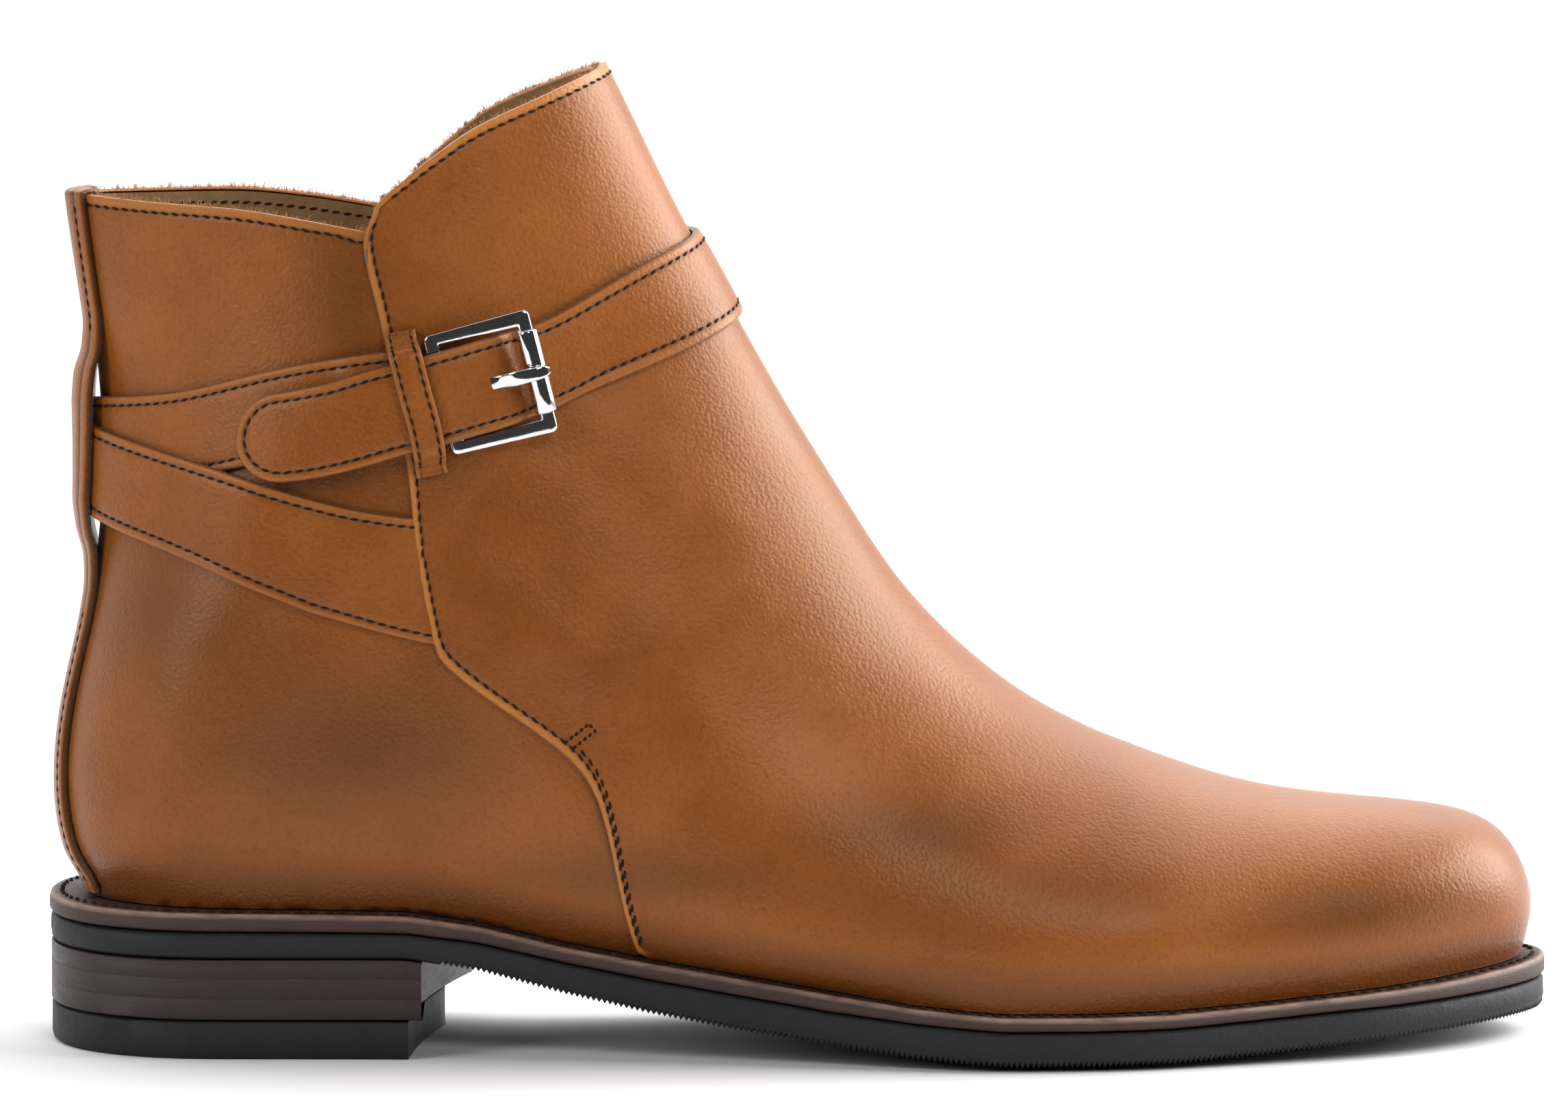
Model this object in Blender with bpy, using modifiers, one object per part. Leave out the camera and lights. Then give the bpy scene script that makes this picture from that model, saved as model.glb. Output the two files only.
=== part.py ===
"""A jodhpur boot for the right foot, standing empty on its sole.

Metres. +X points to the toe, +Y to the inner side of the foot, +Z up. The origin is on the floor, under the
middle of the heel. The shapes are worked out with x from the back of the outsole, and a parent empty moves
them all to the origin. Rows of the tables below give lengths as shares of the named sizes.
"""

import bmesh
import bpy
import numpy as np
from math import cos, pi, radians, sin
from mathutils import Matrix, Vector

for old in list(bpy.data.objects):
    bpy.data.objects.remove(old, do_unlink=True)

# Driving sizes
LENGTH = 0.306
BALL_WIDTH = 0.1026
COLLAR_HEIGHT = 0.2
HEEL_MIDDLE = 0.13 * LENGTH
SOLE_HEIGHT = 0.0302
WALL = 0.0017
PANEL_STEP = 0.0015
TOE_LEDGE = 0.0048
SIDE_LEDGE = 0.0045
HEEL_LEDGE = 0.006
INSOLE_THICKNESS = 0.003
TOP_PIECE_HEIGHT = 0.0078
SOLE_CROWN = 0.0013
STRAP_WIDTH = 0.0182
STRAP_THICKNESS = 0.0015
BACKSTAY_THICKNESS = 0.0014
BACKSTAY_WIDTH = 0.0135
BACKSTAY_FOLD = 0.006
KEEPER_THICKNESS = 0.0011
KEEPER_WIDTH = 0.0063
BUCKLE_HEIGHT = 0.0225
BUCKLE_WIRE = 0.0014
BUCKLE_DEPTH = 0.0011
BUCKLE_CORNER = 0.0018
ROLLER_RADIUS = 0.00225
ROLLER_WALL = 0.0005
ROLLER_LENGTH = 0.0172
PRONG_RADIUS = 0.0012
PRONG_KNEE = 0.09
INSOLE_CLEARANCE = 0.0013
FOLD_CLEARANCE = 0.0011
BACKSTAY_CLEARANCE = 0.0011
EDGE_INSET = 0.0003
EDGE_BEVEL = 0.0009
WELT_PROUD = 0.0001
GAP = 0.0003

# Mesh fineness
ARC_SAMPLES = 60
LINE_SAMPLES = 400
TRIM_SAMPLES = 60
PLACE_SAMPLES = 2000
LEG_RINGS = 130
LEG_RING_SAMPLES = 121
LEG_STEPS = 361
LEG_LEVELS = 173
EDGE_STEPS = 181
MERGE = 0.00001
SOLE_LANES = 4
PANEL_LANES = 9
QUARTER_LANES = 7


def table(columns, rows):
    """Returns the rows as one array for each named column."""
    return dict(zip(columns, np.array(rows, dtype=float).T))


def natural_spline(knots, values):
    """Returns the natural cubic through the knots, as a function."""
    knots = np.asarray(knots, dtype=float)
    values = np.asarray(values, dtype=float)
    count = len(knots)
    step = np.diff(knots)
    slope = np.diff(values) / step
    matrix = np.eye(count)
    right = np.zeros(count)
    for i in range(1, count - 1):
        matrix[i, i - 1] = step[i - 1]
        matrix[i, i] = 2 * (step[i - 1] + step[i])
        matrix[i, i + 1] = step[i]
        right[i] = 6 * (slope[i] - slope[i - 1])
    bend = np.linalg.solve(matrix, right)

    def curve(x):
        x = np.clip(x, knots[0], knots[-1])
        i = np.clip(np.searchsorted(knots, x, side="right") - 1, 0, count - 2)
        h = step[i]
        a = (knots[i + 1] - x) / h
        b = (x - knots[i]) / h
        cubic = ((a ** 3 - a) * bend[i] + (b ** 3 - b) * bend[i + 1]) * h * h / 6
        return a * values[i] + b * values[i + 1] + cubic

    return curve


def steady_spline(knots, values):
    """Returns a cubic through the knots that never overshoots them, as a function."""
    knots = np.asarray(knots, dtype=float)
    values = np.asarray(values, dtype=float)
    step = np.diff(knots)
    slope = np.diff(values) / step
    tangent = np.zeros(len(knots))
    tangent[0] = slope[0]
    tangent[-1] = slope[-1]
    for i in range(1, len(knots) - 1):
        if slope[i - 1] * slope[i] > 0:
            before = 2 * step[i] + step[i - 1]
            after = step[i] + 2 * step[i - 1]
            tangent[i] = (before + after) / (before / slope[i - 1] + after / slope[i])

    def curve(x):
        x = np.clip(x, knots[0], knots[-1])
        i = np.clip(np.searchsorted(knots, x, side="right") - 1, 0, len(step) - 1)
        h = step[i]
        t = (x - knots[i]) / h
        start = (1 + 2 * t) * (1 - t) ** 2 * values[i] + t * (1 - t) ** 2 * h * tangent[i]
        end = t * t * (3 - 2 * t) * values[i + 1] + t * t * (t - 1) * h * tangent[i + 1]
        return start + end

    return curve


def ease(t):
    """Smooth rise from 0 to 1."""
    t = np.clip(t, 0.0, 1.0)
    return t * t * (3 - 2 * t)


# Outline of the sole: x in lengths, middle and half width in ball widths, before the ends are rounded
OUTLINE = table(
    ("x", "middle", "half"),
    (
        (0.00, 0.000, 0.314),
        (0.12, -0.005, 0.323),
        (0.25, -0.015, 0.317),
        (0.38, -0.044, 0.312),
        (0.47, -0.054, 0.341),
        (0.56, -0.039, 0.414),
        (0.62, -0.015, 0.473),
        (0.68, 0.015, 0.500),
        (0.73, 0.034, 0.499),
        (0.80, 0.058, 0.458),
        (0.88, 0.068, 0.385),
        (0.95, 0.068, 0.297),
        (1.00, 0.068, 0.234),
    ),
)
HEEL_ROUND = 0.115
HEEL_ROUND_POWER = 2.3
TOE_ROUND = 0.135
TOE_ROUND_POWER = 2.4
outline_middle = natural_spline(OUTLINE["x"], OUTLINE["middle"])
outline_half = natural_spline(OUTLINE["x"], OUTLINE["half"])

# Levels of the sole along its edge: x in lengths, heights in sole heights
SOLE_LEVELS = table(
    ("x", "underside", "seam", "top"),
    (
        (0.000, 0.685, 0.861, 1.000),
        (0.130, 0.685, 0.858, 0.990),
        (0.240, 0.685, 0.848, 0.974),
        (0.288, 0.603, 0.788, 0.907),
        (0.342, 0.460, 0.666, 0.778),
        (0.386, 0.361, 0.579, 0.699),
        (0.442, 0.255, 0.490, 0.609),
        (0.507, 0.162, 0.387, 0.513),
        (0.572, 0.079, 0.311, 0.421),
        (0.652, 0.030, 0.262, 0.364),
        (0.735, 0.033, 0.265, 0.368),
        (0.862, 0.099, 0.328, 0.430),
        (0.926, 0.139, 0.351, 0.470),
        (1.000, 0.185, 0.387, 0.536),
    ),
)
underside_level = steady_spline(SOLE_LEVELS["x"], SOLE_LEVELS["underside"])
seam_level = steady_spline(SOLE_LEVELS["x"], SOLE_LEVELS["seam"])
top_level = steady_spline(SOLE_LEVELS["x"], SOLE_LEVELS["top"])

# Stations along the sole, closer together round its ends
HEEL_CURVE = HEEL_ROUND * (1 - np.cos(np.linspace(0, pi / 2, 8)))
TOE_CURVE = 1 - TOE_ROUND * (1 - np.cos(np.linspace(pi / 2, 0, 8)))
HEEL_STATIONS = np.concatenate((HEEL_CURVE, (0.16, 0.20, 0.24)))
STATIONS = np.concatenate((HEEL_STATIONS, np.linspace(0.288, 1 - TOE_ROUND, 11), TOE_CURVE[1:]))


def level(curve, lift=0.0):
    """The height function of one of the sole's levels, straight between stations."""
    heights = curve(STATIONS) * SOLE_HEIGHT
    return lambda x: np.interp(x / LENGTH, STATIONS, heights) + lift


# Back seam of the upper: height in collar heights, x in lengths
BACK_SEAM = table(
    ("z", "x"),
    (
        (0.150, 0.0200),
        (0.200, 0.0072),
        (0.270, 0.0018),
        (0.350, 0.0080),
        (0.430, 0.0200),
        (0.520, 0.0290),
        (0.620, 0.0312),
        (0.710, 0.0272),
        (0.790, 0.0192),
        (0.870, 0.0120),
        (1.000, 0.0030),
    ),
)
back_seam_x = natural_spline(BACK_SEAM["z"], BACK_SEAM["x"])

# Sections of the upper from the toe to above the collar. front_x is in lengths and front_z in collar heights.
# end is how far the section's lower end lies along the feather edge from the toe, in lengths, and past the heel
# on up the back seam, in CLIMB collar heights. bulge is what the section is wider, each side, than the sole
# there, and mid and ridge are where its middle and its top lie across, all in ball widths. low is where it is
# widest, in shares from top to end. crown and tuck are how full it is at the top and below its widest. round is
# how long the rounding at the back of the leg is, in lengths, and power how blunt it is.
SECTIONS = table(
    ("front_x", "front_z", "end", "bulge", "mid", "ridge", "low", "crown", "tuck", "round", "power"),
    (
        (0.9843, 0.0820, 0.000, 0.000, 0.068, 0.068, 0.60, 0.55, 0.50, 0.115, 2.30),
        (0.9910, 0.1250, 0.006, 0.006, 0.068, 0.068, 0.60, 0.56, 0.50, 0.115, 2.30),
        (0.9880, 0.1600, 0.020, 0.010, 0.068, 0.068, 0.62, 0.60, 0.50, 0.115, 2.30),
        (0.9755, 0.1965, 0.043, 0.012, 0.068, 0.068, 0.66, 0.66, 0.50, 0.115, 2.30),
        (0.9445, 0.2250, 0.076, 0.015, 0.068, 0.068, 0.70, 0.70, 0.50, 0.115, 2.30),
        (0.8820, 0.2375, 0.134, 0.015, 0.065, 0.068, 0.74, 0.68, 0.50, 0.115, 2.30),
        (0.8105, 0.2510, 0.203, 0.015, 0.054, 0.063, 0.76, 0.62, 0.50, 0.115, 2.30),
        (0.7385, 0.2835, 0.275, 0.015, 0.027, 0.058, 0.78, 0.55, 0.50, 0.115, 2.30),
        (0.6730, 0.3280, 0.350, -0.006, -0.005, 0.054, 0.80, 0.50, 0.50, 0.115, 2.30),
        (0.6175, 0.3875, 0.428, -0.035, -0.020, 0.049, 0.80, 0.46, 0.50, 0.115, 2.30),
        (0.5685, 0.4650, 0.510, -0.068, -0.020, 0.044, 0.78, 0.44, 0.50, 0.115, 2.30),
        (0.5295, 0.5550, 0.598, -0.094, -0.015, 0.034, 0.72, 0.44, 0.50, 0.115, 2.30),
        (0.4935, 0.6450, 0.696, -0.103, -0.010, 0.024, 0.64, 0.47, 0.52, 0.115, 2.30),
        (0.4640, 0.7250, 0.814, -0.107, -0.005, 0.015, 0.57, 0.50, 0.56, 0.115, 2.30),
        (0.4380, 0.7975, 0.948, -0.117, 0.000, 0.010, 0.53, 0.52, 0.56, 0.118, 2.28),
        (0.4135, 0.8690, 1.078, -0.127, 0.000, 0.005, 0.52, 0.53, 0.54, 0.138, 2.12),
        (0.3905, 0.9425, 1.216, -0.146, 0.000, 0.000, 0.51, 0.54, 0.52, 0.175, 1.80),
        (0.3690, 1.0100, 1.356, -0.164, 0.000, 0.000, 0.50, 0.55, 0.50, 0.205, 1.56),
        (0.3495, 1.0750, 1.487, -0.166, 0.000, 0.000, 0.50, 0.55, 0.50, 0.215, 1.48),
    ),
)
LAST_SECTION = len(SECTIONS["end"]) - 1
section_curves = {name: natural_spline(range(LAST_SECTION + 1), values) for name, values in SECTIONS.items()}
WALL_FULLNESS = 0.52
WIDEST_X = 0.68
CLIMB = 1.53
SEAM_START = 0.03
END_LEAN = 0.4
PLACE_STEP = 0.01
TINY = 1e-6
HEEL_FEATHER_Z = float(top_level(0.0)) * SOLE_HEIGHT + GAP

# Rear edge of the front panel, from the welt up to its corner and on
PANEL_EDGE = table(
    ("x", "z"),
    (
        (0.400, 0.080),
        (0.387, 0.143),
        (0.378, 0.207),
        (0.369, 0.263),
        (0.349, 0.312),
        (0.305, 0.362),
        (0.269, 0.404),
        (0.258, 0.440),
        (0.248, 0.522),
        (0.243, 0.600),
        (0.228, 0.732),
        (0.217, 0.801),
        (0.214, 0.840),
        (0.220, 0.863),
        (0.222, 0.950),
        (0.222, 1.080),
    ),
)
PANEL_CORNER_Z = 0.863

# The inner side's panel edge lies this much further forward, from a height up
INNER_PANEL_SHIFT = 0.0215
SHIFT_LOW = 0.55
SHIFT_RISE = 0.25
SHIFT_FRONT = 0.373
SHIFT_SPAN = 0.153

# Top edges: of the front panel, and of the quarters
PANEL_TOP = table(
    ("x", "z"),
    (
        (0.205, 0.780),
        (0.220, 0.863),
        (0.241, 0.894),
        (0.264, 0.921),
        (0.287, 0.944),
        (0.333, 0.974),
        (0.373, 0.998),
        (0.400, 1.012),
    ),
)
QUARTER_TOP = table(
    ("x", "z"),
    (
        (0.000, 0.866),
        (0.060, 0.863),
        (0.120, 0.861),
        (0.170, 0.853),
        (0.215, 0.842),
        (0.260, 0.830),
    ),
)
panel_top_height = steady_spline(PANEL_TOP["x"], PANEL_TOP["z"])
quarter_top_height = steady_spline(QUARTER_TOP["x"], QUARTER_TOP["z"])


def rounding(way, length, power):
    """How wide a rounded end is, as a share of its full width, at a way from its tip."""
    return (1 - (1 - np.clip(way / length, 0, 1)) ** power) ** (1 / power)


def outline_point(x_share, side, inset):
    """A point of the sole's outline, drawn in by inset, at a share of the way from heel to toe."""
    round_heel = rounding(x_share, HEEL_ROUND, HEEL_ROUND_POWER)
    round_toe = rounding(1 - x_share, TOE_ROUND, TOE_ROUND_POWER)
    half = (outline_half(x_share) * BALL_WIDTH - inset) * round_heel * round_toe
    x = inset + x_share * (LENGTH - 2 * inset)
    y = outline_middle(x_share) * BALL_WIDTH + side * half
    return x, y


def feather_point(end, inset):
    """Where the upper meets the welt: x, middle, half width and height at a share of the way from the toe."""
    toe_x = LENGTH - TOE_LEDGE - inset
    heel_x = HEEL_LEDGE + inset
    reach = (LENGTH - TOE_LEDGE - HEEL_LEDGE) / LENGTH
    way = np.clip(end / reach, 0.0, 1.0)
    x_share = 1 - way
    _, y_inner = outline_point(x_share, 1, SIDE_LEDGE + inset)
    middle = outline_middle(x_share) * BALL_WIDTH
    x = toe_x + (heel_x - toe_x) * way
    z = np.interp(x / LENGTH, STATIONS, top_level(STATIONS)) * SOLE_HEIGHT + GAP
    return x, middle, y_inner - middle, z


def back_line(z, inset):
    """How far forward the back of the upper lies at height z."""
    climb = np.clip(z - HEEL_FEATHER_Z, 0, None)
    heel_x = HEEL_LEDGE + inset
    seam_x = back_seam_x(z / COLLAR_HEIGHT) * LENGTH + inset
    return heel_x + (seam_x - heel_x) * ease(climb / (SEAM_START * LENGTH))


def section(u, inset):
    """The sizes of the upper's section at place u, taken in by inset on all sides."""
    values = {name: curve(u) for name, curve in section_curves.items()}
    before = np.asarray(u) - PLACE_STEP
    after = np.asarray(u) + PLACE_STEP
    along_x = (section_curves["front_x"](after) - section_curves["front_x"](before)) * LENGTH
    along_z = (section_curves["front_z"](after) - section_curves["front_z"](before)) * COLLAR_HEIGHT
    along = np.hypot(along_x, along_z)
    front_x = values["front_x"] * LENGTH - inset * along_z / along
    front_z = values["front_z"] * COLLAR_HEIGHT + inset * along_x / along
    reach = (LENGTH - TOE_LEDGE - HEEL_LEDGE) / LENGTH
    end_x, end_middle, end_half, end_z = feather_point(values["end"], inset)
    climb = (values["end"] - reach) * CLIMB * COLLAR_HEIGHT
    end_z = np.where(climb > 0, end_z + climb, end_z)
    end_x = np.where(climb > 0, back_line(end_z, inset), end_x)
    toe_rounding = rounding(values["end"] / reach, TOE_ROUND, TOE_ROUND_POWER)
    heel_way = np.clip(1 - values["end"] / reach, 0, 1)
    end_full = (outline_half(heel_way) * BALL_WIDTH - SIDE_LEDGE - inset) * toe_rounding
    wide_way = np.minimum(values["end"], (1 - WIDEST_X) * reach)
    _, _, wide_half, _ = feather_point(wide_way, inset)
    half = np.maximum(wide_half + values["bulge"] * BALL_WIDTH, end_half)
    return {
        "front": (front_x, front_z),
        "end": (end_x, end_z),
        "half": half,
        "end_full": end_full,
        "ridge": values["ridge"] * BALL_WIDTH,
        "mid": values["mid"] * BALL_WIDTH,
        "end_middle": end_middle,
        "low": values["low"],
        "crown": values["crown"],
        "tuck": values["tuck"],
        "round": values["round"],
        "power": values["power"],
    }


def bezier(points, t):
    """A cubic curve's value at t."""
    a, b, c, d = points
    return a * (1 - t) ** 3 + 3 * b * t * (1 - t) ** 2 + 3 * c * t * t * (1 - t) + d * t ** 3


def section_points(u, turn, side, inset):
    """Points of the upper at place u. turn runs from 0 at the top through 1 at the widest to 2 at the end."""
    s = section(u, inset)
    low = s["low"]
    half = s["half"]
    end_full = s["end_full"]
    upper_t = np.clip(turn, 0, 1)
    lower_t = np.clip(turn - 1, 0, 1)
    share_above = bezier((0.0, 0.0, low * (1 - WALL_FULLNESS), low), upper_t)
    width_above = bezier((0.0, s["crown"] * half, half, half), upper_t)
    end_way = (s["end"][0] - HEEL_LEDGE - inset) / (LENGTH - TOE_LEDGE - HEEL_LEDGE - 2 * inset)
    open_end = (rounding(end_way, s["round"], s["power"]) * end_full / np.maximum(half, TINY)) ** 2
    last_share = 1 - END_LEAN * open_end * (1 - low)
    last_width = (half + end_full) / 2
    share_below = bezier((low, low + s["tuck"] * (1 - low), last_share, 1.0), lower_t)
    width_below = bezier((half, half, last_width, end_full), lower_t)
    share = np.where(turn <= 1, share_above, share_below)
    width = np.where(turn <= 1, width_above, width_below)
    middle_above = s["ridge"] + (s["mid"] - s["ridge"]) * ease(share / low)
    middle_below = s["mid"] + (s["end_middle"] - s["mid"]) * ease((share - low) / (1 - low))
    middle = np.where(turn <= 1, middle_above, middle_below)
    x = s["front"][0] + (s["end"][0] - s["front"][0]) * share
    z = s["front"][1] + (s["end"][1] - s["front"][1]) * share
    from_back = (x - back_line(z, inset)) / (LENGTH - TOE_LEDGE - HEEL_LEDGE - 2 * inset)
    y = middle + side * width * rounding(from_back, s["round"], s["power"])
    return np.stack(np.broadcast_arrays(x, y, z), axis=-1)


def curve_points(columns, shift=0.0):
    """A table's x and z as a smooth line in metres."""
    x_at = natural_spline(range(len(columns["x"])), columns["x"])
    z_at = natural_spline(range(len(columns["z"])), columns["z"])
    place = np.linspace(0, len(columns["x"]) - 1, LINE_SAMPLES)
    z = z_at(place)
    x = x_at(place) + shift * ease((z - SHIFT_LOW) / SHIFT_RISE)
    return x * LENGTH, z * COLLAR_HEIGHT


EDGE_LINES = {-1: curve_points(PANEL_EDGE), 1: curve_points(PANEL_EDGE, INNER_PANEL_SHIFT)}


def edge_turn(u, side):
    """The turn at which section u crosses the front panel's rear edge, or 2 where it is all panel."""
    turns = np.linspace(0, 2, 2 * ARC_SAMPLES + 1)
    points = section_points(u, turns, side, 0.0)
    front = points[0]
    end = points[-1]
    edge_x, edge_z = EDGE_LINES[side]
    cross = (edge_x - front[0]) * (end[2] - front[2]) - (edge_z - front[2]) * (end[0] - front[0])
    reach = (end[0] - front[0]) ** 2 + (end[2] - front[2]) ** 2
    share = ((edge_x - front[0]) * (end[0] - front[0]) + (edge_z - front[2]) * (end[2] - front[2])) / reach
    found = np.nonzero((cross[:-1] * cross[1:] <= 0) & (share[:-1] > 0) & (share[:-1] < 1))[0]
    if len(found) == 0:
        return 2.0
    k = found[0]
    part = cross[k] / (cross[k] - cross[k + 1])
    at = share[k] + part * (share[k + 1] - share[k])
    shares = (points[:, 0] - front[0]) / (end[0] - front[0])
    return float(np.interp(at, shares, turns))


def even_turns(u, side, start, stop, lanes):
    """Turns from start to stop, evenly spaced along the section."""
    if stop - start < TINY:
        return np.full(lanes + 1, stop)
    turns = np.linspace(start, stop, ARC_SAMPLES)
    points = section_points(u, turns, side, 0.0)
    steps = np.linalg.norm(np.diff(points, axis=0), axis=1)
    way = np.concatenate(([0.0], np.cumsum(steps)))
    return np.interp(np.linspace(0, way[-1], lanes + 1), way, turns)


def panel_turns(u, side):
    """The front panel's lanes on one side of section u, from the ridge back to its edge."""
    return even_turns(u, side, 0.0, edge_turn(u, side), PANEL_LANES)


def quarter_turns(u, side):
    """The quarter's lanes on one side of section u, from the panel's edge to the section's end."""
    return even_turns(u, side, edge_turn(u, side), 2.0, QUARTER_LANES)


def trim(lane_turns, side, lane, top_height, shift):
    """The place u at which a lane reaches its top edge."""
    places = np.linspace(HEEL_PLACE, LAST_SECTION, TRIM_SAMPLES)
    over = []
    for u in places:
        point = section_points(u, lane_turns(u, side)[lane], side, 0.0)
        back = shift * np.clip((SHIFT_FRONT - point[0] / LENGTH) / SHIFT_SPAN, 0, 1) if side > 0 else 0.0
        over.append(point[2] / COLLAR_HEIGHT - top_height(point[0] / LENGTH - back))
    over = np.array(over)
    k = int(np.nonzero(over > 0)[0][0])
    part = over[k - 1] / (over[k - 1] - over[k])
    return places[k - 1] + part * (places[k] - places[k - 1])


def section_at_end(end):
    """The place u whose section ends at that share of the feather edge."""
    places = np.linspace(0, LAST_SECTION, PLACE_SAMPLES)
    return float(np.interp(end, section_curves["end"](places), places))


HEEL_REACH = (LENGTH - TOE_LEDGE - HEEL_LEDGE) / LENGTH
PANEL_FOOT_X = 0.3925
PANEL_FOOT_END = (LENGTH - TOE_LEDGE) / LENGTH - PANEL_FOOT_X
PANEL_START = section_at_end(PANEL_FOOT_END)
HEEL_PLACE = section_at_end(HEEL_REACH)
QUARTER_FEET = (0.346, 0.288, 0.24, 0.20, 0.16, 0.12, 0.085, 0.055, 0.036, 0.024)
TOE_PLACES = np.linspace(0, 5, 11)[:-1]
VAMP_PLACES = np.linspace(5, PANEL_START, 9)[:-1]
QUARTER_PLACES = [section_at_end((LENGTH - TOE_LEDGE) / LENGTH - foot) for foot in QUARTER_FEET]
LOWER_PLACES = np.concatenate((TOE_PLACES, VAMP_PLACES, [PANEL_START], QUARTER_PLACES, [HEEL_PLACE]))
PANEL_ROW = len(TOE_PLACES) + len(VAMP_PLACES)
HEEL_ROW = len(LOWER_PLACES) - 1
SHARED_ROWS = 8
FREE_ROWS = 2
LAST_SHARED = HEEL_ROW + SHARED_ROWS
LAST_ROW = LAST_SHARED + FREE_ROWS


def lane_places(side):
    """For each row of the upper's grid, the place u of every lane of the panel and of the quarter."""
    shift = INNER_PANEL_SHIFT
    panel_tops = [trim(panel_turns, side, lane, panel_top_height, shift) for lane in range(PANEL_LANES)]
    corner = trim(panel_turns, side, PANEL_LANES, lambda x: PANEL_CORNER_Z, 0.0)
    panel_tops = np.array(panel_tops + [corner])
    quarter_tops = [trim(quarter_turns, side, lane, quarter_top_height, 0.0) for lane in range(QUARTER_LANES + 1)]
    quarter_tops = np.array(quarter_tops)
    shared = (quarter_tops[0] - HEEL_PLACE) / (corner - HEEL_PLACE)
    panel = [np.full(PANEL_LANES + 1, u) for u in LOWER_PLACES]
    quarter = [np.full(QUARTER_LANES + 1, u) for u in LOWER_PLACES]
    for k in range(1, SHARED_ROWS + 1):
        panel.append(HEEL_PLACE + (panel_tops - HEEL_PLACE) * shared * k / SHARED_ROWS)
        quarter.append(HEEL_PLACE + (quarter_tops - HEEL_PLACE) * k / SHARED_ROWS)
    for k in range(1, FREE_ROWS + 1):
        panel.append(HEEL_PLACE + (panel_tops - HEEL_PLACE) * (shared + (1 - shared) * k / FREE_ROWS))
    return panel, quarter


def material(name, colour, roughness, metallic=0.0):
    """A plain finish."""
    made = bpy.data.materials.new(name)
    made.use_nodes = True
    shader = made.node_tree.nodes["Principled BSDF"]
    shader.inputs["Base Color"].default_value = (*colour, 1.0)
    shader.inputs["Roughness"].default_value = roughness
    shader.inputs["Metallic"].default_value = metallic
    return made


parts = bpy.data.collections.new("jodhpur_boot")
bpy.context.scene.collection.children.link(parts)
cutters = bpy.data.collections.new("cutters")
bpy.context.scene.collection.children.link(cutters)
stand = bpy.data.objects.new("stand", None)
stand.location.x = -HEEL_MIDDLE
parts.objects.link(stand)


def place(made, collection, look, smooth_angle):
    """Puts a solid on the stand, in its collection and its finish."""
    collection.objects.link(made)
    made.parent = stand
    made.data.materials.append(look)
    if made.type == "MESH":
        made.data.shade_smooth()
        made.data.set_sharp_from_angle(angle=radians(smooth_angle))
    return made


class Shell:
    """Collects points, each once, and faces."""

    def __init__(self):
        self.points = []
        self.faces = []

    def add(self, point):
        """Adds a point and returns its number."""
        self.points.append(tuple(float(c) for c in point))
        return len(self.points) - 1

    def face(self, *corners):
        """Adds a face, leaving out corners that repeat."""
        kept = []
        for corner in corners:
            if corner not in kept:
                kept.append(corner)
        if len(kept) > 2:
            self.faces.append(kept)

    def sheet(self, grid):
        """Adds the faces of a grid of point numbers."""
        for row, after in zip(grid[:-1], grid[1:]):
            for k in range(len(row) - 1):
                self.face(row[k], row[k + 1], after[k + 1], after[k])

    def finish(self, name, look, smooth_angle=40):
        """Makes the named solid, its faces turned outwards."""
        mesh = bpy.data.meshes.new(name)
        mesh.from_pydata(self.points, [], self.faces)
        shape = bmesh.new()
        shape.from_mesh(mesh)
        bmesh.ops.recalc_face_normals(shape, faces=shape.faces)
        shape.to_mesh(mesh)
        shape.free()
        return place(bpy.data.objects.new(name, mesh), parts, look, smooth_angle)


def sole_plate(name, stations, rings, look, crown=0.0, front=None):
    """A layer of the sole. rings go from its underside to its top, each an inset and a height function."""
    shell = Shell()
    edges = []
    fronts = []
    for inset, height in rings:
        lines = ([], [])
        for k, share in enumerate(stations):
            last = k == len(stations) - 1
            for side, line in zip((-1, 1), lines):
                x, y = outline_point(share, side, inset)
                if front is not None and last:
                    x = front(y)
                tip = side > 0 and (k == 0 or (last and front is None))
                line.append(lines[0][k] if tip else shell.add((x, y, max(0.0, height(x)))))
        edges.append(lines)
    for below, above in zip(edges[:-1], edges[1:]):
        for line, line_above in zip(below, above):
            shell.sheet([line, line_above])

    def across(lines, height, k, dip):
        """One row of points from the outer edge to the inner edge at a station."""
        start = Vector(shell.points[lines[0][k]])
        stop = Vector(shell.points[lines[1][k]])
        row = [lines[0][k]]
        for lane in range(1, SOLE_LANES):
            share = lane / SOLE_LANES
            point = start.lerp(stop, share)
            if front is not None and k == len(stations) - 1:
                point.x = front(point.y)
            drop = dip * (1 - (2 * share - 1) ** 2) * forefoot(point.x / LENGTH)
            point.z = max(0.0, height(point.x) - drop)
            row.append(lines[0][k] if lines[0][k] == lines[1][k] else shell.add(point))
        return row + [lines[1][k]]

    for which, dip in ((0, crown), (-1, 0.0)):
        grid = [across(edges[which], rings[which][1], k, dip) for k in range(len(stations))]
        shell.sheet(grid)
        fronts.append(grid[-1])
    if front is not None:
        middles = [across(edges[k], rings[k][1], len(stations) - 1, 0.0) for k in range(1, len(rings) - 1)]
        shell.sheet([fronts[0], *middles, fronts[1]])
    return shell.finish(name, look)


CROWN_START = 0.42
CROWN_RISE = 0.16
CROWN_FALL = 0.25


def forefoot(x_share):
    """How far the sole's crown is formed: whole under the ball, none at the waist and the toe."""
    return float(ease((x_share - CROWN_START) / CROWN_RISE) * ease((1.0 - x_share) / CROWN_FALL))


BREAST_X = 0.262
BREAST_SLANT = 0.19
BREAST_HOLLOW = 0.0022
HEEL_HALF = 0.32
NOTCH_START = 0.12
NOTCH_SLANT = 0.75


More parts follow.
